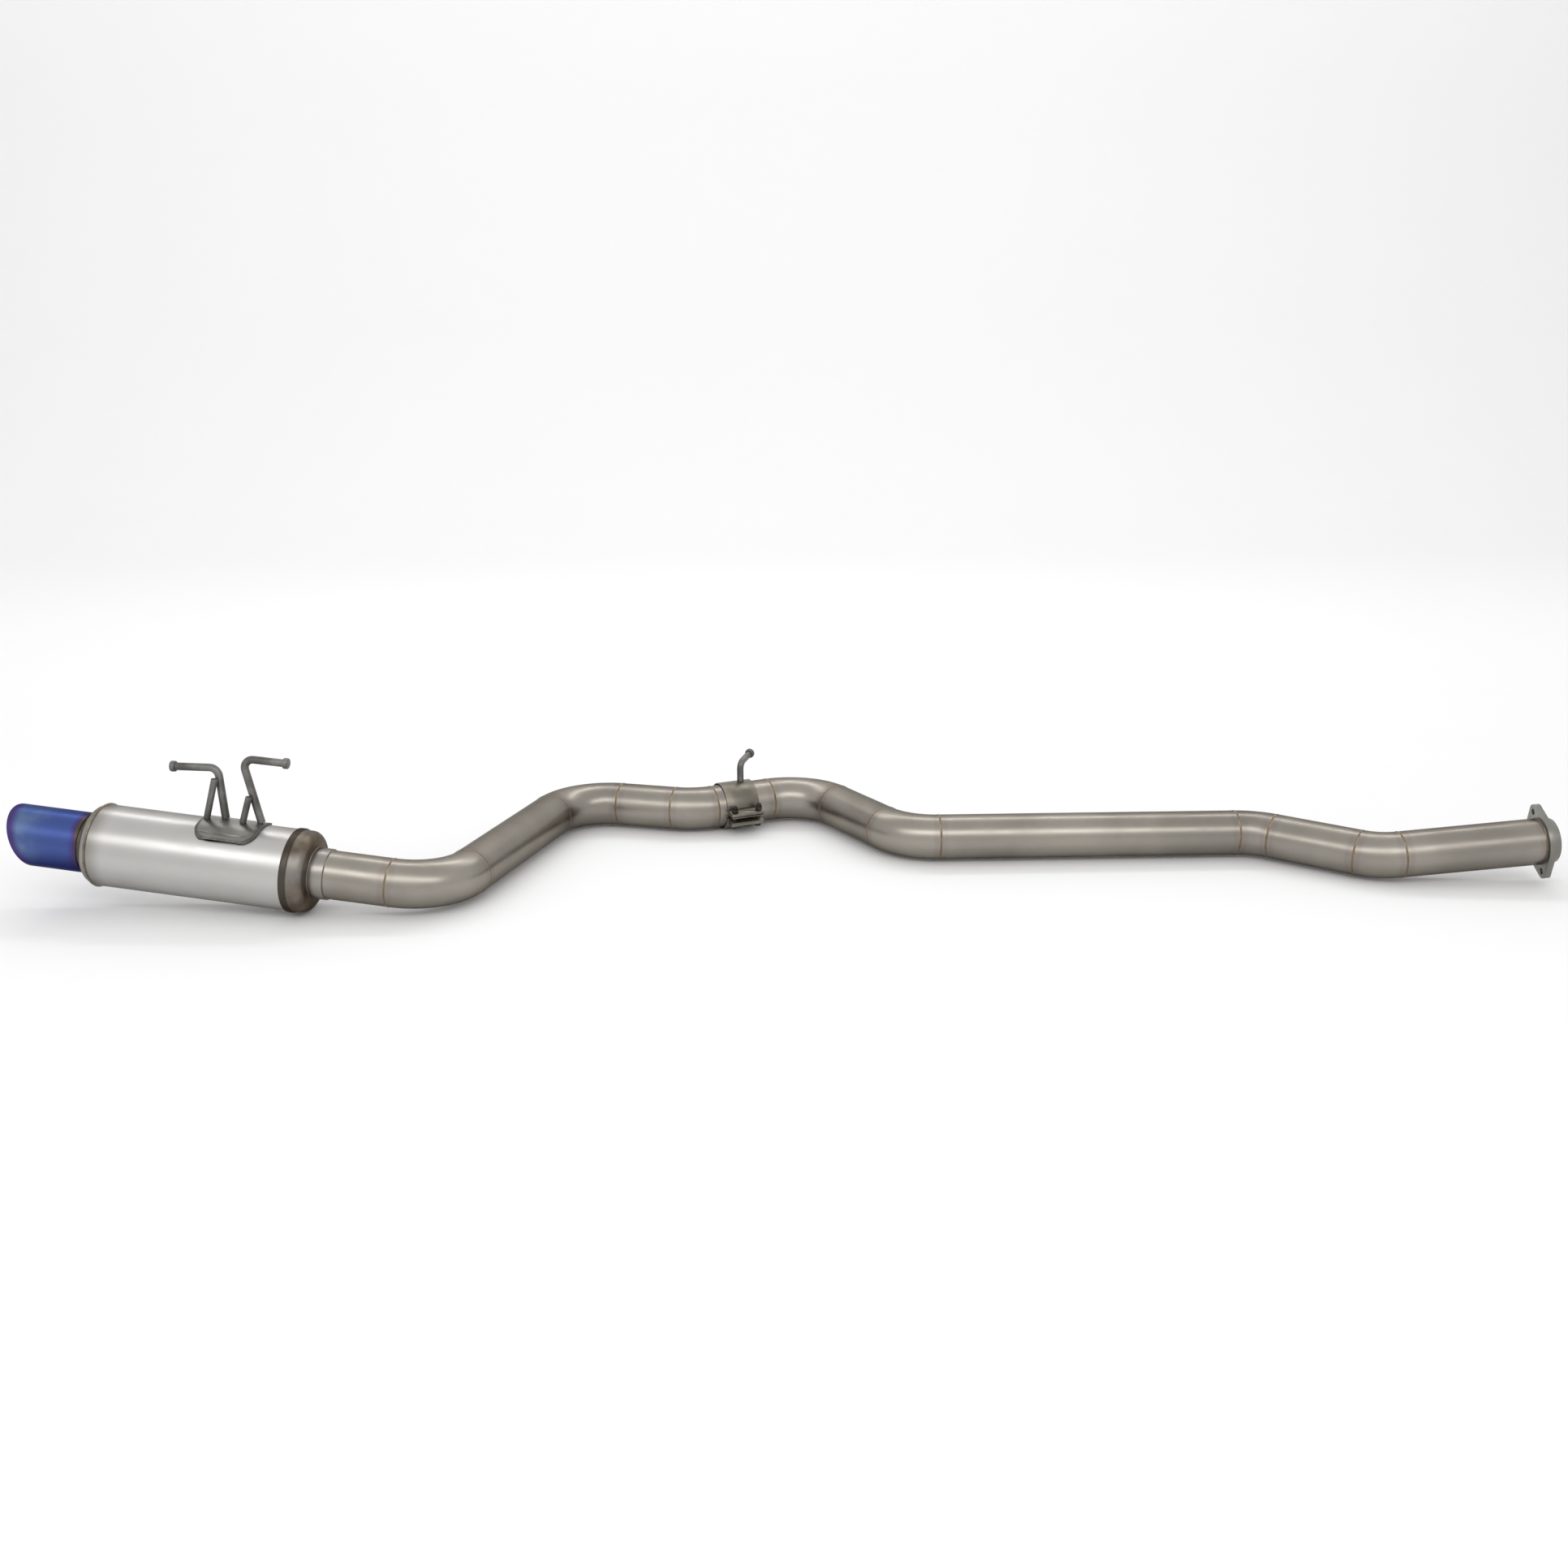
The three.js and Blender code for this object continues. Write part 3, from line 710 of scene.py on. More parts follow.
@finish_named
def shell_sheet(finishes):
    finish = Finish("bright_muffler_sheet")
    cloud = finish.mottle(5, 5.0).between(0.3, 0.7)
    lines = finish.lathe_lines(1300)
    base = cloud.mix(scaled(finishes.shell, 0.92), scaled(finishes.shell, 1.06))
    warm = finish.stored("weld").between(0.0, 0.03, 0.55, 0.0)
    smears = finish.mottle(18, 4.0).between(0.4, 0.75)
    dents = finish.mottle(3.5, 1.0)
    return finish.set(
        base_color=warm.mix(base, finishes.tint),
        metallic=1.0,
        specular_tint=EDGE_SHADE,
        roughness=0.28 + 0.07 * lines + 0.08 * smears,
        normal=finish.bump(lines * 0.05 + dents, 0.22, 0.0018),
    )


@finish_named
def heat_tinted(finishes, depth):
    """Sheet browned by heat, greyer in patches and nearly black along the folded seam."""
    finish = Finish("heat_tinted_sheet")
    cloud = finish.mottle(40, 5.0).between(0.3, 0.7)
    patch = finish.mottle(14, 3.0).between(0.4, 0.65)
    brown = cloud.mix(
        scaled(finishes.tint, 0.75 * depth), scaled(finishes.tint, 1.25 * depth)
    )
    base = (patch * 0.5).mix(brown, scaled(finishes.shell, 0.6 * depth))
    run = finish.stored("run") + (finish.mottle(90) - 0.5) * 0.002
    seam = run.between(-0.0075, -0.0055) * run.between(0.0045, 0.0065, 1.0, 0.0)
    lines = finish.lathe_lines(1100)
    return finish.set(
        base_color=(seam * 0.8).mix(base, scaled(finishes.tint, 0.3)),
        metallic=1.0,
        specular_tint=EDGE_SHADE,
        roughness=0.33 + 0.10 * lines + 0.06 * cloud,
        normal=finish.bump(lines, 0.12, 0.0003),
    )


@finish_named
def burnt_titanium(finishes):
    """The colours of heat run along the tip, from a brown root through violet to blue,
    and painted shade darkens its lower part to deep blue.
    """
    finish = Finish("burnt_titanium_tip")
    drift = (finish.mottle(16, 4.0) - 0.5) * 0.016
    run = finish.stored("run") + drift
    root = run.between(0.0, 0.008).mix(scaled(finishes.tint, 0.6), finishes.violet)
    body = run.between(0.002, 0.016).mix(root, finishes.blue)
    streak = finish.mottle(22, 3.0).between(0.45, 0.7)
    mouth = (run.between(0.035, 0.085) * (0.25 + 0.75 * streak)).mix(
        body, finishes.pale_blue
    )
    lip = finish.stored("lip").between(0.002, 0.016, 0.85, 0.0)
    # Painted shade: by its height in the world, the tip turns deep blue towards its
    # bottom.
    height = finish.tools.node("ShaderNodeSeparateXYZ", {}, {"Vector": finish.here}, "Z")
    shade = (height + drift).between(0.075, 0.115, 0.85, 0.0)
    tip_with_painted_shade = shade.mix(mouth, PAINTED_SHADE_BLUE)
    lines = finish.lathe_lines(1500)
    return finish.set(
        base_color=lip.mix(tip_with_painted_shade, finishes.violet),
        metallic=1.0,
        specular_tint=EDGE_SHADE,
        roughness=0.27 + 0.10 * lines + 0.08 * streak,
        normal=finish.bump(lines, 0.10, 0.0003),
    )


@finish_named
def rod_steel(finishes):
    finish = Finish("bare_rod_steel")
    scale = finish.mottle(220, 5.0)
    cloud = finish.mottle(30, 4.0).between(0.35, 0.7)
    base = cloud.mix(scaled(finishes.rod, 0.6), scaled(finishes.rod, 1.25))
    return finish.set(
        base_color=base,
        metallic=0.85,
        roughness=0.36 + 0.22 * scale,
        normal=finish.bump(scale, 0.25, 0.0004),
    )


@finish_named
def clamp_strip(finishes):
    finish = Finish("dull_clamp_strip")
    grain = finish.mottle(500, 3.0)
    cloud = finish.mottle(24, 4.0).between(0.35, 0.7)
    base = cloud.mix(scaled(finishes.clamp, 0.75), scaled(finishes.clamp, 1.3))
    return finish.set(
        base_color=base,
        metallic=0.95,
        roughness=0.33 + 0.16 * grain,
        normal=finish.bump(grain, 0.15, 0.0003),
    )


@finish_named
def dark_bolt(finishes):
    finish = Finish("dark_bolt_steel")
    grain = finish.mottle(900, 3.0)
    cloud = finish.mottle(90, 4.0).between(0.35, 0.7)
    base = cloud.mix(scaled(finishes.bolt, 0.7), scaled(finishes.bolt, 2.0))
    return finish.set(
        base_color=base,
        metallic=0.8,
        roughness=0.40 + 0.18 * grain,
        normal=finish.bump(grain, 0.2, 0.0002),
    )


@finish_named
def weld_metal(finishes, ripples):
    """Overlapping crescents round the bead, with straw and blue heat colours."""
    finish = Finish("weld_metal")
    tools = finish.tools
    layout = tools.node("ShaderNodeUVMap", {}, {})
    around = tools.node("ShaderNodeSeparateXYZ", {}, {"Vector": layout}, "X")
    across = tools.node("ShaderNodeSeparateXYZ", {}, {"Vector": layout}, "Y")
    bow = tools.maths("ABSOLUTE", tools.maths("SINE", across * (2 * math.pi)))
    wave = tools.maths("FRACT", around * ripples + bow * 0.6)
    crest = tools.maths("POWER", wave, 0.6)
    cloud = finish.mottle(80, 4.0)
    heat = tools.node(
        "ShaderNodeValToRGB",
        {
            "stops": [
                (0.30, (0.15, 0.13, 0.11)),
                (0.48, (0.24, 0.205, 0.155)),
                (0.60, (0.19, 0.165, 0.16)),
                (0.72, (0.25, 0.245, 0.235)),
            ]
        },
        {"Fac": cloud},
        "Color",
    )
    return finish.set(
        base_color=heat,
        metallic=1.0,
        roughness=0.28 + 0.15 * crest,
        normal=finish.bump(crest, 0.6, 0.0008),
    )


@finish_named
def sooty_core(finishes):
    finish = Finish("sooty_core_steel")
    soot = finish.mottle(45, 5.0).between(0.3, 0.7)
    return finish.set(
        base_color=soot.mix(finishes.soot, scaled(finishes.soot, 4.0)),
        metallic=0.6,
        roughness=0.55 + 0.3 * soot,
        normal=finish.bump(soot, 0.2, 0.0005),
    )


@finish_named
def steel_wool(finishes):
    finish = Finish("steel_wool")
    strands = finish.mottle(600, 8.0)
    return finish.set(
        base_color=strands.mix((0.10, 0.10, 0.10), (0.42, 0.42, 0.41)),
        metallic=0.7,
        roughness=0.7,
        normal=finish.bump(strands, 0.9, 0.002),
    )


@finish_named
def glass_packing(finishes):
    finish = Finish("glass_fibre_packing")
    strands = finish.mottle(500, 8.0)
    return finish.set(
        base_color=strands.mix((0.55, 0.50, 0.36), (0.86, 0.83, 0.72)),
        metallic=0.0,
        roughness=0.95,
        normal=finish.bump(strands, 0.9, 0.002),
    )


# ---- The pieces ----


def builder(label):
    """Makes an operator of a class, with a title, and adds it to the panel's list."""

    def made(cls):
        cls.bl_label = label
        cls.bl_options = {"REGISTER", "UNDO"}
        BUILDERS.append(cls)
        return cls

    return made


TUBE_RINGS = [0.003, 0.007, 0.012, 0.020]
SHELL_RINGS = [0, 0.004, 0.012, 0.03]
BEND_STEP = 2.5
HUB = 0.004
COLLAR_EDGE = 0.0005


def straight_tube(node, wall):
    """A straight pipe, with rings set close at its ends where the heat colours are."""
    axis = AXES[node]
    obj = ring_at(f"{node}_tube", axis.start, axis.way, PIPE_RADIUS, ROUND)
    stops = TUBE_RINGS + [axis.length / 2]
    stops += [axis.length - d for d in reversed(TUBE_RINGS)] + [axis.length]
    here = 0
    for stop in stops:
        grow(axis.way * (stop - here))
        here = stop
    leave_edit()
    hollow(obj, wall)
    mark_surface(obj, axis=axis)
    return obj


def bent_tube(node, wall):
    """A bend, spun from the end of the pipe ahead to the start of the one behind."""
    before, after = (AXES[name] for name in BENDS[node])
    angle = before.way.angle(after.way)
    start = before.end + before.way * JOINT_GAP
    finish = after.start - after.way * JOINT_GAP
    chord = (finish - start).length
    radius = chord / (2 * math.sin(angle / 2))
    axle = before.way.cross(after.way).normalized()
    inward = axle.cross(before.way)
    centre = start + inward * radius
    obj = ring_at(f"{node}_tube", start, before.way, PIPE_RADIUS, ROUND)
    sweep_round(centre, axle, angle, max(6, round(math.degrees(angle) / BEND_STEP)))
    leave_edit()
    hollow(obj, wall)
    mark_surface(obj, centreline=(centre, -inward, axle, radius))
    return obj


@builder("Pipes")
class EXHAUST_OT_pipes(bpy.types.Operator):
    """Makes the straight pipes and the bends"""

    bl_idname = "exhaust.pipes"

    def execute(self, context):
        wall = context.scene.exhaust_sizes.pipe_wall
        for node in PIPE_NODES:
            tube = straight_tube(node, wall)
            finish_piece(tube, satin_pipe(), node)
        for node in BENDS:
            tube = bent_tube(node, wall)
            finish_piece(tube, satin_pipe(), node)
        return {"FINISHED"}


@builder("Welds")
class EXHAUST_OT_welds(bpy.types.Operator):
    """Makes one weld bead and copies it to every joint"""

    bl_idname = "exhaust.welds"

    def execute(self, context):
        sizes = context.scene.exhaust_sizes
        bench()
        half = sizes.weld_width / 2
        bpy.ops.mesh.primitive_torus_add(
            major_radius=1,
            minor_radius=half / PIPE_RADIUS,
            major_segments=FINE_ROUND,
            minor_segments=12,
        )
        pattern = bpy.context.object
        for number, (body, centre, way, radius) in enumerate(WELDS, 1):
            bead = pattern.copy()
            bead.data = pattern.data.copy()
            bead.name = f"weld_bead_{number:02d}"
            context.scene.collection.objects.link(bead)
            inner = radius + sizes.weld_height - half
            size = Matrix.Diagonal((inner, inner, PIPE_RADIUS, 1))
            turn = way.to_track_quat("Z", "Y").to_matrix().to_4x4()
            place(bead, Matrix.Translation(centre) @ turn @ size)
            metal = weld_metal(sizes.weld_ripples)
            finish_piece(bead, metal, body=body)
        bpy.data.objects.remove(pattern)
        return {"FINISHED"}


@builder("Front flange")
class EXHAUST_OT_flange(bpy.types.Operator):
    """Rounds the edges of the flange plate and makes the gasket ring"""

    bl_idname = "exhaust.flange"

    def execute(self, context):
        plate = from_cad("inlet_flange_plate", "inlet_flange")
        soften(plate, 0.0008, 3)
        finish_piece(plate, pale_plate(), "inlet_flange")
        axis = AXES["gasket_ring"]
        wall = context.scene.exhaust_sizes.pipe_wall
        edge = wall / 3
        outer, inner = axis.radius, axis.radius - wall
        profile = [
            *arc(outer - edge, edge, edge, -90, 0, 3),
            *arc(outer - edge, axis.length - edge, edge, 0, 90, 3),
            *arc(inner + edge, axis.length - edge, edge, 90, 180, 3),
            *arc(inner + edge, edge, edge, 180, 270, 3),
        ]
        ring = turned("gasket_ring_sleeve", closed(profile))
        place(ring, axis.place())
        finish_piece(ring, pale_plate(), "gasket_ring")
        return {"FINISHED"}


@builder("Slip joint")
class EXHAUST_OT_slip_joint(bpy.types.Operator):
    """Finishes the slotted socket that the front piping slides into"""

    bl_idname = "exhaust.slip_joint"

    def execute(self, context):
        socket = from_cad("slip_socket_tube", "slip_socket")
        soften(socket, 0.0003, 2, math.radians(50))
        mark_surface(socket, axis=AXES["slip_socket"])
        finish_piece(socket, satin_pipe(), "slip_socket")
        return {"FINISHED"}


def clamp_place():
    """The clamp's own place: Z along the pipe and X out through the gap in its band."""
    axis = AXES["clamp_band"]
    middle = axis.at(axis.length / 2)
    bars = np.concatenate([corners_of(f"clamp_bar_{end}") for end in ("upper", "lower")])
    out = Vector(bars.mean(0)) - middle
    out = (out - axis.way * out.dot(axis.way)).normalized()
    turn = Matrix((out, axis.way.cross(out), axis.way)).transposed().to_4x4()
    return Matrix.Translation(middle) @ turn


@builder("Band clamp")
class EXHAUST_OT_clamp(bpy.types.Operator):
    """Makes the band round the slip joint with its bars, bolts and nuts"""

    bl_idname = "exhaust.clamp"

    def band(self, home):
        """A round strip, opened at the gap, with its two ends turned out as lugs."""
        local = np.array([home.inverted() @ Vector(p) for p in corners_of("clamp_band")])
        width = np.ptp(local[:, 2])
        reach = local[:, 0].max()
        slack = 0.001
        lug = local[local[:, 0] > reach - slack]
        gap = np.abs(lug[:, 1]).min()
        bore = np.hypot(local[:, 0], local[:, 1]).min()
        bench()
        bpy.ops.mesh.primitive_circle_add(vertices=BAND_ROUND, radius=bore)
        obj = bpy.context.object
        obj.name = "clamp_band_strip"
        edit()
        pick(obj, lambda v: v.co.x > 0 and abs(v.co.y) < gap + slack)
        bpy.ops.mesh.delete(type="VERT")
        for side in (1, -1):
            pick(obj, lambda v: len(v.link_edges) == 1 and v.co.y * side > 0)
            start = next(
                v.co.copy() for v in bmesh.from_edit_mesh(obj.data).verts if v.select
            )
            corner = Vector((bore + slack, side * gap, 0))
            grow(corner - start)
            grow(Vector((reach, side * gap, 0)) - corner)
        bpy.ops.mesh.select_all(action="SELECT")
        grow((0, 0, width))
        bpy.ops.mesh.select_all(action="SELECT")
        bpy.ops.transform.translate(value=(0, 0, -width / 2))
        face_out()
        leave_edit()
        return obj

    def execute(self, context):
        home = clamp_place()
        strip = self.band(home)
        thicken(strip, context.scene.exhaust_sizes.pipe_wall, 1)
        soften(strip, 0.0004)
        place(strip, home)
        finish_piece(strip, clamp_strip(), "clamp_band")
        for end in ("upper", "lower"):
            node = f"clamp_bar_{end}"
            bar = from_cad(f"{node}_block", node)
            soften(bar, 0.0008, 3)
            finish_piece(bar, clamp_strip(), node)
        for number in (1, 2):
            for kind in ("bolt", "nut"):
                node = f"clamp_{kind}_{number}"
                copy = from_cad(f"{node}_steel", node)
                soften(copy, 0.0005, 3)
                finish_piece(copy, dark_bolt(), node)
        return {"FINISHED"}


@builder("Muffler")
class EXHAUST_OT_muffler(bpy.types.Operator):
    """Makes the shell, its two caps, the inlet collar and the outlet neck"""

    bl_idname = "exhaust.muffler"

    def add(self, name, node, profile, material, slot):
        piece = turned(name, closed(profile), FINE_ROUND)
        place(piece, SHELL.place())
        mark_surface(piece, axis=SHELL)
        finish_piece(piece, material, node)

    def execute(self, context):
        sizes = context.scene.exhaust_sizes
        wall = sizes.sheet_wall
        outer = SHELL.radius
        bore = PIPE_RADIUS + JOINT_GAP

        def station(point):
            return (point - SHELL.start).dot(SHELL.way)

        half = SHELL.length / 2
        rings = SHELL_RINGS + [half - 0.05, half, half + 0.05]
        rings += [SHELL.length - d for d in reversed(SHELL_RINGS)]
        skin = [(outer, s) for s in rings]
        inside = [(outer - wall, SHELL.length), (outer - wall, 0)]
        self.add(
            "muffler_shell_sheet",
            "muffler_shell",
            skin + inside,
            shell_sheet(),
            "shell_steel",
        )

        cap = AXES["inlet_cap"]
        face = station(cap.start)
        round_size = sizes.cap_shoulder
        lip = outer + sizes.seam_lip
        fold = sizes.seam_lip * 0.9
        first, last = -sizes.seam_width / 2, sizes.seam_width / 2
        profile = [
            (bore, face),
            (PIPE_RADIUS + HUB, face),
            *arc(outer - round_size, face + round_size, round_size, -90, 0, 10),
            (outer, first - 0.002),
            (outer + 0.0005, first - 0.0006),
            *arc(lip - fold, first + fold, fold, -60, 0, 4),
            *arc(lip - fold, last - fold, fold, 0, 80, 4),
            (outer + JOINT_GAP, last),
            (outer + JOINT_GAP, -JOINT_GAP),
            (outer - wall, -JOINT_GAP),
            *arc(outer - round_size, face + round_size, round_size - wall, 0, -90, 8),
            (bore, face + wall),
        ]
        self.add(
            "inlet_cap_pressing", "inlet_cap", profile, heat_tinted(1.0), "tinted_steel"
        )

        end = AXES["outlet_cap"]
        edge, rear = station(end.start), station(end.end)
        round_size = sizes.tail_shoulder
        profile = [
            (outer - wall, edge),
            (outer, edge),
            *arc(outer - round_size, rear - round_size, round_size, 0, 90, 10),
            (PIPE_RADIUS + HUB, rear),
            (bore, rear),
            (bore, rear - wall),
            *arc(outer - round_size, rear - round_size, round_size - wall, 90, 0, 8),
        ]
        self.add(
            "outlet_cap_pressing", "outlet_cap", profile, shell_sheet(), "shell_steel"
        )

        for name, node, material, slot in (
            ("inlet_collar_ring", "inlet_collar", shell_sheet(), "flange_steel"),
            ("outlet_neck_ring", "outlet_neck", heat_tinted(0.6), "tinted_steel"),
        ):
            axis = AXES[node]
            inner = axis.radius - sizes.pipe_wall
            middle = axis.radius - COLLAR_EDGE
            start, stop = station(axis.start), station(axis.end)
            profile = [
                *arc(middle, start + COLLAR_EDGE, COLLAR_EDGE, -90, 0, 3),
                *arc(middle, stop - COLLAR_EDGE, COLLAR_EDGE, 0, 90, 3),
                (inner, stop),
                (inner, start),
            ]
            self.add(name, node, profile, material, slot)
        for node, material in (
            ("perforated_core", sooty_core()),
            ("steel_wool_wrap", steel_wool()),
            ("glass_packing", glass_packing()),
        ):
            mesh = frame["nodes"][node].data
            mesh.materials.clear()
            mesh.materials.append(material)
        return {"FINISHED"}


@builder("Tip")
class EXHAUST_OT_tip(bpy.types.Operator):
    """Makes the burnt blue tip with its raked mouth and rolled edge"""

    bl_idname = "exhaust.tip"

    def execute(self, context):
        sizes = context.scene.exhaust_sizes
        axis = AXES["exhaust_tip"]
        outer = axis.radius
        wall, roll, total = sizes.tip_wall, sizes.tip_roll, sizes.tip_length
        slope = math.tan(sizes.tip_rake) / total
        centre, mouth = outer - roll, total - roll
        tuck = mouth - 0.004
        points = [(outer, total * s / 8) for s in range(8)]
        points = [p for p in points if p[1] < tuck]
        points += arc(centre, mouth, roll, 0, 180, 12)
        points += [(centre - roll, tuck), (centre - roll + wall, tuck)]
        points += arc(centre, mouth, roll - wall, 180, 0, 8)
        points += [(outer - wall, total * s / 4) for s in (3, 2, 1, 0)]
        points.append(points[0])
        profile = [(radius, height, slope * height) for radius, height in points]
        tip = turned("exhaust_tip_sleeve", profile, FINE_ROUND)
        mesh = tip.data
        lip = mesh.attributes.new("lip", "FLOAT", "POINT")
        for vertex, entry in zip(mesh.vertices, lip.data):
            raked = mouth * (1 + slope * vertex.co.y)
            entry.value = max(0.0, raked - vertex.co.z)
        start = (axis.start - SHELL.start).dot(SHELL.way)
        place(tip, SHELL.place(start))
        mark_surface(tip, axis=axis)
        finish_piece(tip, burnt_titanium(), "exhaust_tip")
        return {"FINISHED"}


# Each corner is metres sideways, rearwards from the shell's front, and out from the
# saddle's surface.
HANGERS = {
    "rear_hanger_rod": ((0.010, 0.119, 0), (0.010, 0.131, 0.080), (0.010, 0.205, 0.073)),
    "front_hanger_rod": ((0.010, 0.062, 0), (0.010, 0.093, 0.100), (0.010, 0.019, 0.101)),
    "rear_hanger_brace": ((-0.0013, 0.144, 0), (-0.0013, 0.131, 0.065)),
    "front_hanger_brace": ((-0.0013, 0.087, 0), (-0.0013, 0.077, 0.043)),
}
# The clamp's rod stands ahead of the band's middle, between two heights over the pipe's
# centre. Its pin leaves the top by metres sideways, rearwards and upwards.
CLAMP_ROD_INSET = 0.011
CLAMP_ROD_ENDS = (0.0423, 0.076)
CLAMP_PIN = (0.029, -0.033, 0.009)
SADDLE_RIM = 0.0045


@builder("Hangers")
class EXHAUST_OT_hangers(bpy.types.Operator):
    """Makes the saddle and the bent hanger rods with their buttons"""

    bl_idname = "exhaust.hangers"

    def rim(self, saddle):
        """Insets the saddle's top and gives the rim round it the darker rod steel."""
        edit("DESELECT")

        def on_top(face):
            out = (face.calc_center_median() - SHELL.start).cross(SHELL.way).length
            return face.calc_area() > 2e-5 and out > SHELL.radius + 0.002

        pick(saddle, on_top, "faces")
        bpy.ops.mesh.inset(thickness=SADDLE_RIM, use_even_offset=True)
        inner = bmesh.from_edit_mesh(saddle.data)
        kept = {face.index for face in inner.faces if face.select}
        leave_edit()
        for polygon in saddle.data.polygons:
            polygon.material_index = 0 if polygon.index in kept else 1

    def rod(self, context, node, points, button):
        sizes = context.scene.exhaust_sizes
        thick = sizes.rod if button else sizes.brace
        piece = swept_rod(f"{node}_steel", points, thick / 2, sizes.rod_bend)
        if button:
            wide, tall, edge = sizes.button / 2, sizes.button_length, 0.0018
            profile = [
                (0.0006, -tall),
                *arc(wide - edge, -tall + edge, edge, -90, 0, 5),
                *arc(wide - edge, -edge, edge, 0, 90, 5),
                (0.0006, 0),
            ]
            knob = turned(f"{node}_button", closed(profile), ROD_ROUND)
            way = (points[-1] - points[-2]).normalized()
            turn = way.to_track_quat("Z", "Y").to_matrix().to_4x4()
            place(knob, Matrix.Translation(points[-1]) @ turn)
            only(piece)
            knob.select_set(True)
            bpy.ops.object.join()
        else:
            soften(piece, 0.0008, 3, math.radians(60))
        finish_piece(piece, rod_steel(), node)

    def execute(self, context):
        saddle = from_cad("hanger_saddle_plate", "hanger_saddle")
        soften(saddle, 0.0007, 3, math.radians(50))
        finish_piece(saddle, pale_plate(), "hanger_saddle")
        saddle.data.materials.append(rod_steel())
        self.rim(saddle)
        across = SHELL.way.cross(SHELL.up)
        surface = Axis("hanger_saddle", SHELL).radius

        def on_muffler(sideways, station, height):
            lift = surface + height
            return SHELL.at(station) + across * sideways + SHELL.up * lift

        for node, corners in HANGERS.items():
            points = [on_muffler(*corner) for corner in corners]
            self.rod(context, node, points, node.endswith("rod"))
        band = AXES["clamp_band"]
        middle = band.at(band.length / 2 - CLAMP_ROD_INSET)
        foot, top = (middle + band.up * lift for lift in CLAMP_ROD_ENDS)
        sideways, rearwards, upwards = CLAMP_PIN
        across = band.way.cross(band.up)
        pin = across * sideways + band.way * rearwards + band.up * upwards
        self.rod(context, "clamp_hanger_rod", [foot, top, top + pin], True)
        return {"FINISHED"}


FLOOR = (44, 11)
WALL_HEIGHT = 7
# Where each softbox stands, what it faces, its size and its power in watts.
SOFTBOXES = {
    "key_softbox": ((-0.2, -2.2, 1.9), (0, 0, 0.05), (4.6, 0.9), 30),
    "strip_softbox": ((0, 1.9, 3.0), (0, 0, 0.05), (5.0, 0.35), 26),
    "wall_softbox": ((0, 1.8, 4.2), (0, 5.5, 2.2), (8, 1.5), 60),
}


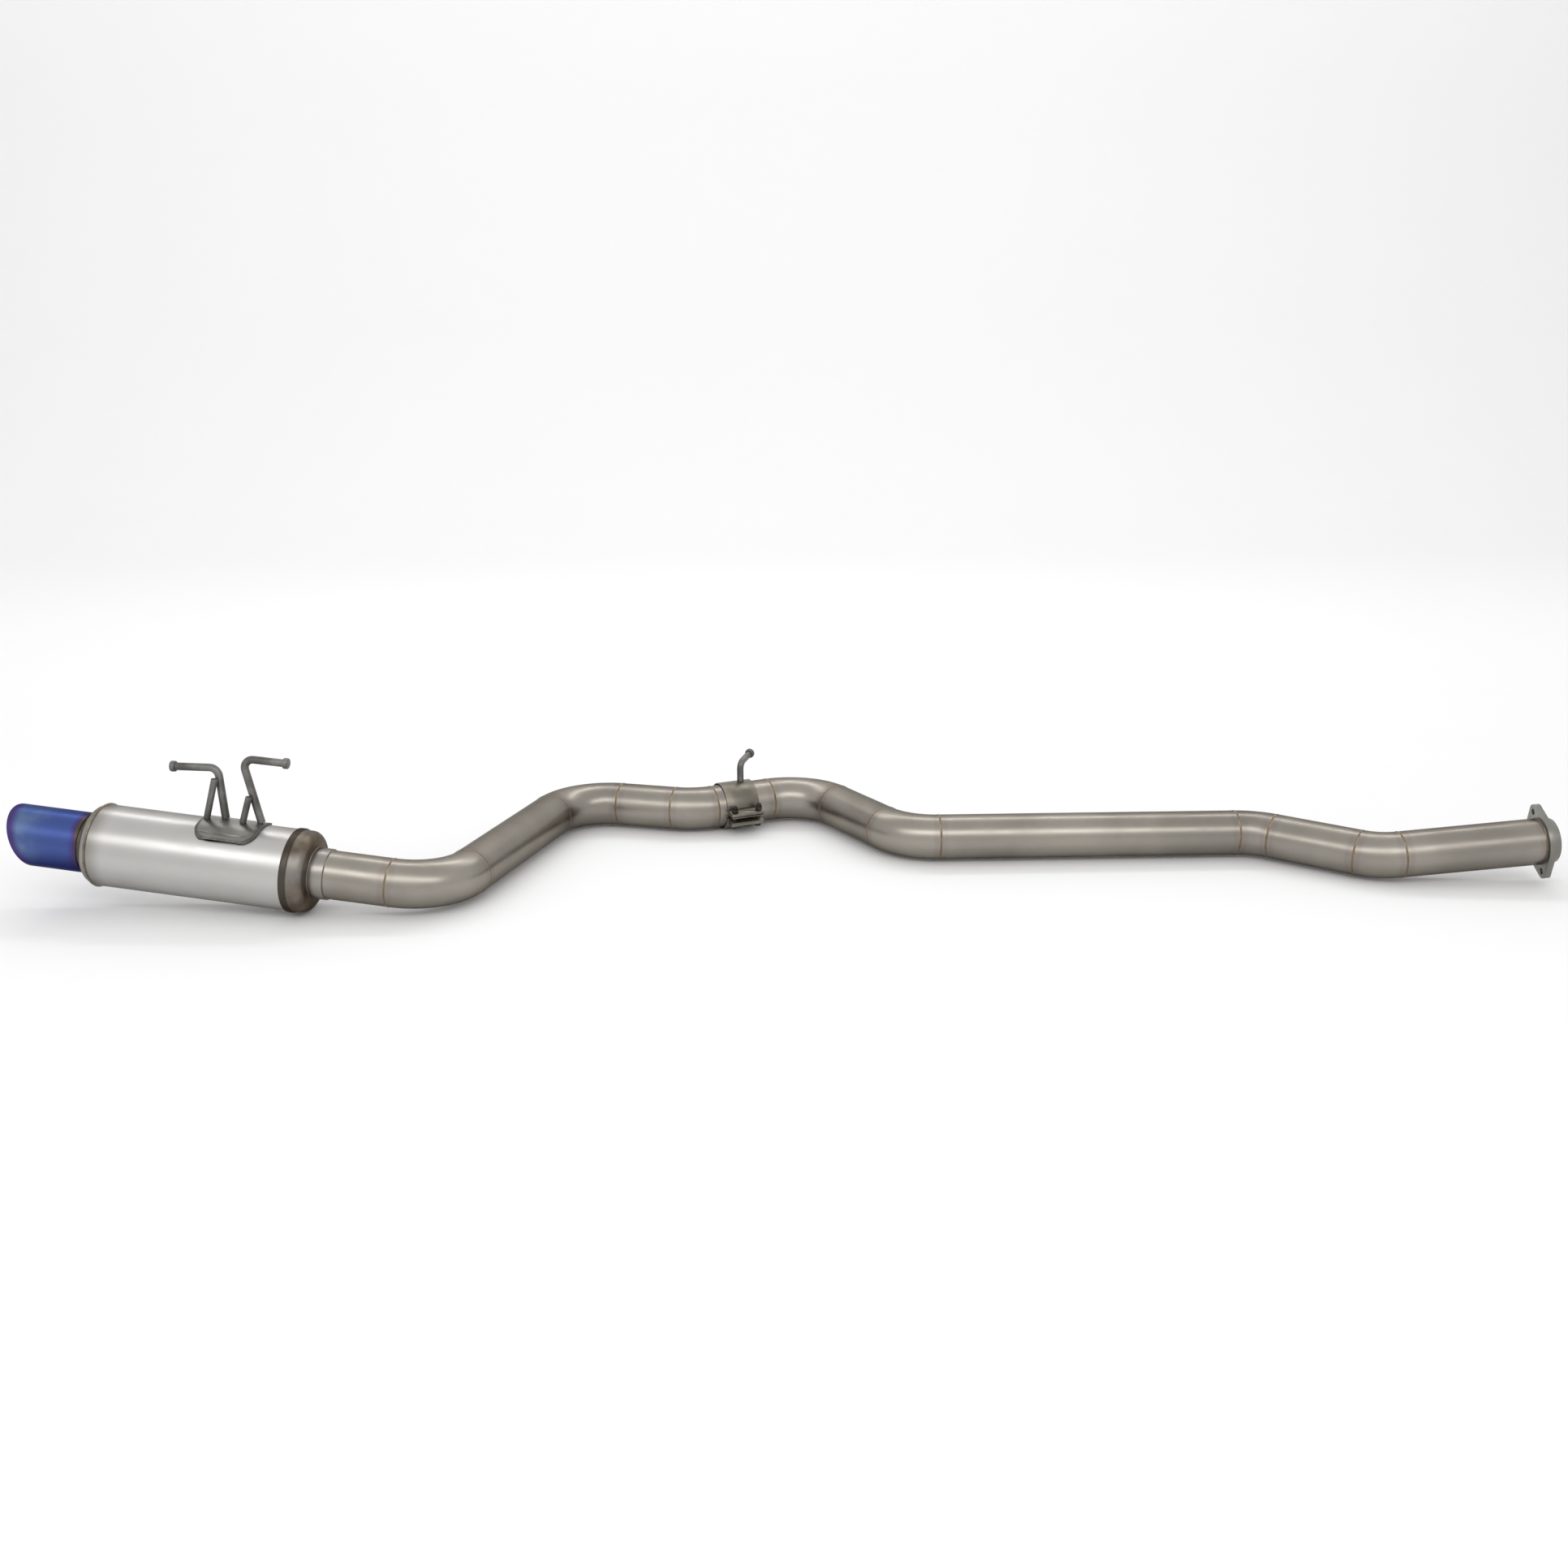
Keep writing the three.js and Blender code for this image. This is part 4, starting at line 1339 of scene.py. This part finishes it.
@builder("Studio")
class EXHAUST_OT_studio(bpy.types.Operator):
    """Sets up the floor, the backdrop, the lights and the camera"""

    bl_idname = "exhaust.studio"

    def softbox(self, name, where, target, size, power):
        light = bpy.data.lights.new(name, "AREA")
        light.shape = "RECTANGLE"
        light.size, light.size_y = size
        light.energy = power
        lamp = bpy.data.objects.new(name, light)
        lamp.location = where
        aim = Vector(target) - Vector(where)
        lamp.rotation_euler = aim.to_track_quat("-Z", "Y").to_euler()
        bpy.context.scene.collection.objects.link(lamp)

    def execute(self, context):
        studio = context.scene.exhaust_studio
        bench()
        bpy.ops.mesh.primitive_plane_add(size=1, location=(0, 0, 0))
        sweep = bpy.context.object
        sweep.name = "studio_sweep"
        sweep.scale = (*FLOOR, 1)
        bpy.ops.object.transform_apply(location=False, rotation=False, scale=True)
        edit("DESELECT")
        pick(sweep, lambda e: all(v.co.y > 5 for v in e.verts), "edges")
        grow((0, 0, WALL_HEIGHT))
        leave_edit()
        fold = sweep.modifiers.new("fold", "BEVEL")
        fold.width = 2
        fold.segments = 16
        apply_all(sweep)
        bpy.ops.object.shade_smooth()
        paper = Finish("studio_paper")
        fleck = paper.mottle(3, 2.0)
        sweep.data.materials.append(
            paper.set(
                base_color=fleck.mix(scaled(studio.floor, 0.99), studio.floor),
                roughness=0.9,
            )
        )

        world = bpy.data.worlds.new("studio_room")
        world.use_nodes = True
        background = world.node_tree.nodes["Background"]
        background.inputs["Color"].default_value = (1, 1, 1, 1)
        background.inputs["Strength"].default_value = studio.room
        context.scene.world = world
        for name, settings in SOFTBOXES.items():
            self.softbox(name, *settings)

        lens = bpy.data.cameras.new("photo_camera")
        lens.lens = studio.lens
        lens.sensor_width = 36
        lens.clip_end = 60
        camera = bpy.data.objects.new("photo_camera", lens)
        camera.location = studio.eye
        camera.rotation_euler = studio.aim
        context.scene.collection.objects.link(camera)
        context.scene.camera = camera
        context.scene.view_settings.view_transform = "Standard"
        return {"FINISHED"}


class EXHAUST_PT_sidebar(bpy.types.Panel):
    """Lists the steps that build the exhaust"""

    bl_label = "Racing Exhaust"
    bl_idname = "EXHAUST_PT_sidebar"
    bl_space_type = "VIEW_3D"
    bl_region_type = "UI"
    bl_category = "Exhaust"

    def draw(self, context):
        scene = context.scene
        groups = (scene.exhaust_sizes, scene.exhaust_finishes, scene.exhaust_studio)
        for settings in groups:
            box = self.layout.box()
            for name in settings.__annotations__:
                box.prop(settings, name)
        for operator in BUILDERS:
            self.layout.operator(operator.bl_idname)


CLASSES = (
    ExhaustSizes,
    ExhaustFinishes,
    StudioSettings,
    *BUILDERS,
    EXHAUST_PT_sidebar,
)


def register():
    for cls in CLASSES:
        bpy.utils.register_class(cls)
    scene = bpy.types.Scene
    scene.exhaust_sizes = bpy.props.PointerProperty(type=ExhaustSizes)
    scene.exhaust_finishes = bpy.props.PointerProperty(type=ExhaustFinishes)
    scene.exhaust_studio = bpy.props.PointerProperty(type=StudioSettings)


def unregister():
    for name in ("exhaust_sizes", "exhaust_finishes", "exhaust_studio"):
        delattr(bpy.types.Scene, name)
    for cls in reversed(CLASSES):
        bpy.utils.unregister_class(cls)


def main():
    register()
    bpy.ops.exhaust.pipes()
    bpy.ops.exhaust.welds()
    bpy.ops.exhaust.flange()
    bpy.ops.exhaust.slip_joint()
    bpy.ops.exhaust.clamp()
    bpy.ops.exhaust.muffler()
    bpy.ops.exhaust.tip()
    bpy.ops.exhaust.hangers()
    bpy.ops.exhaust.studio()


if __name__ == "__main__":
    main()
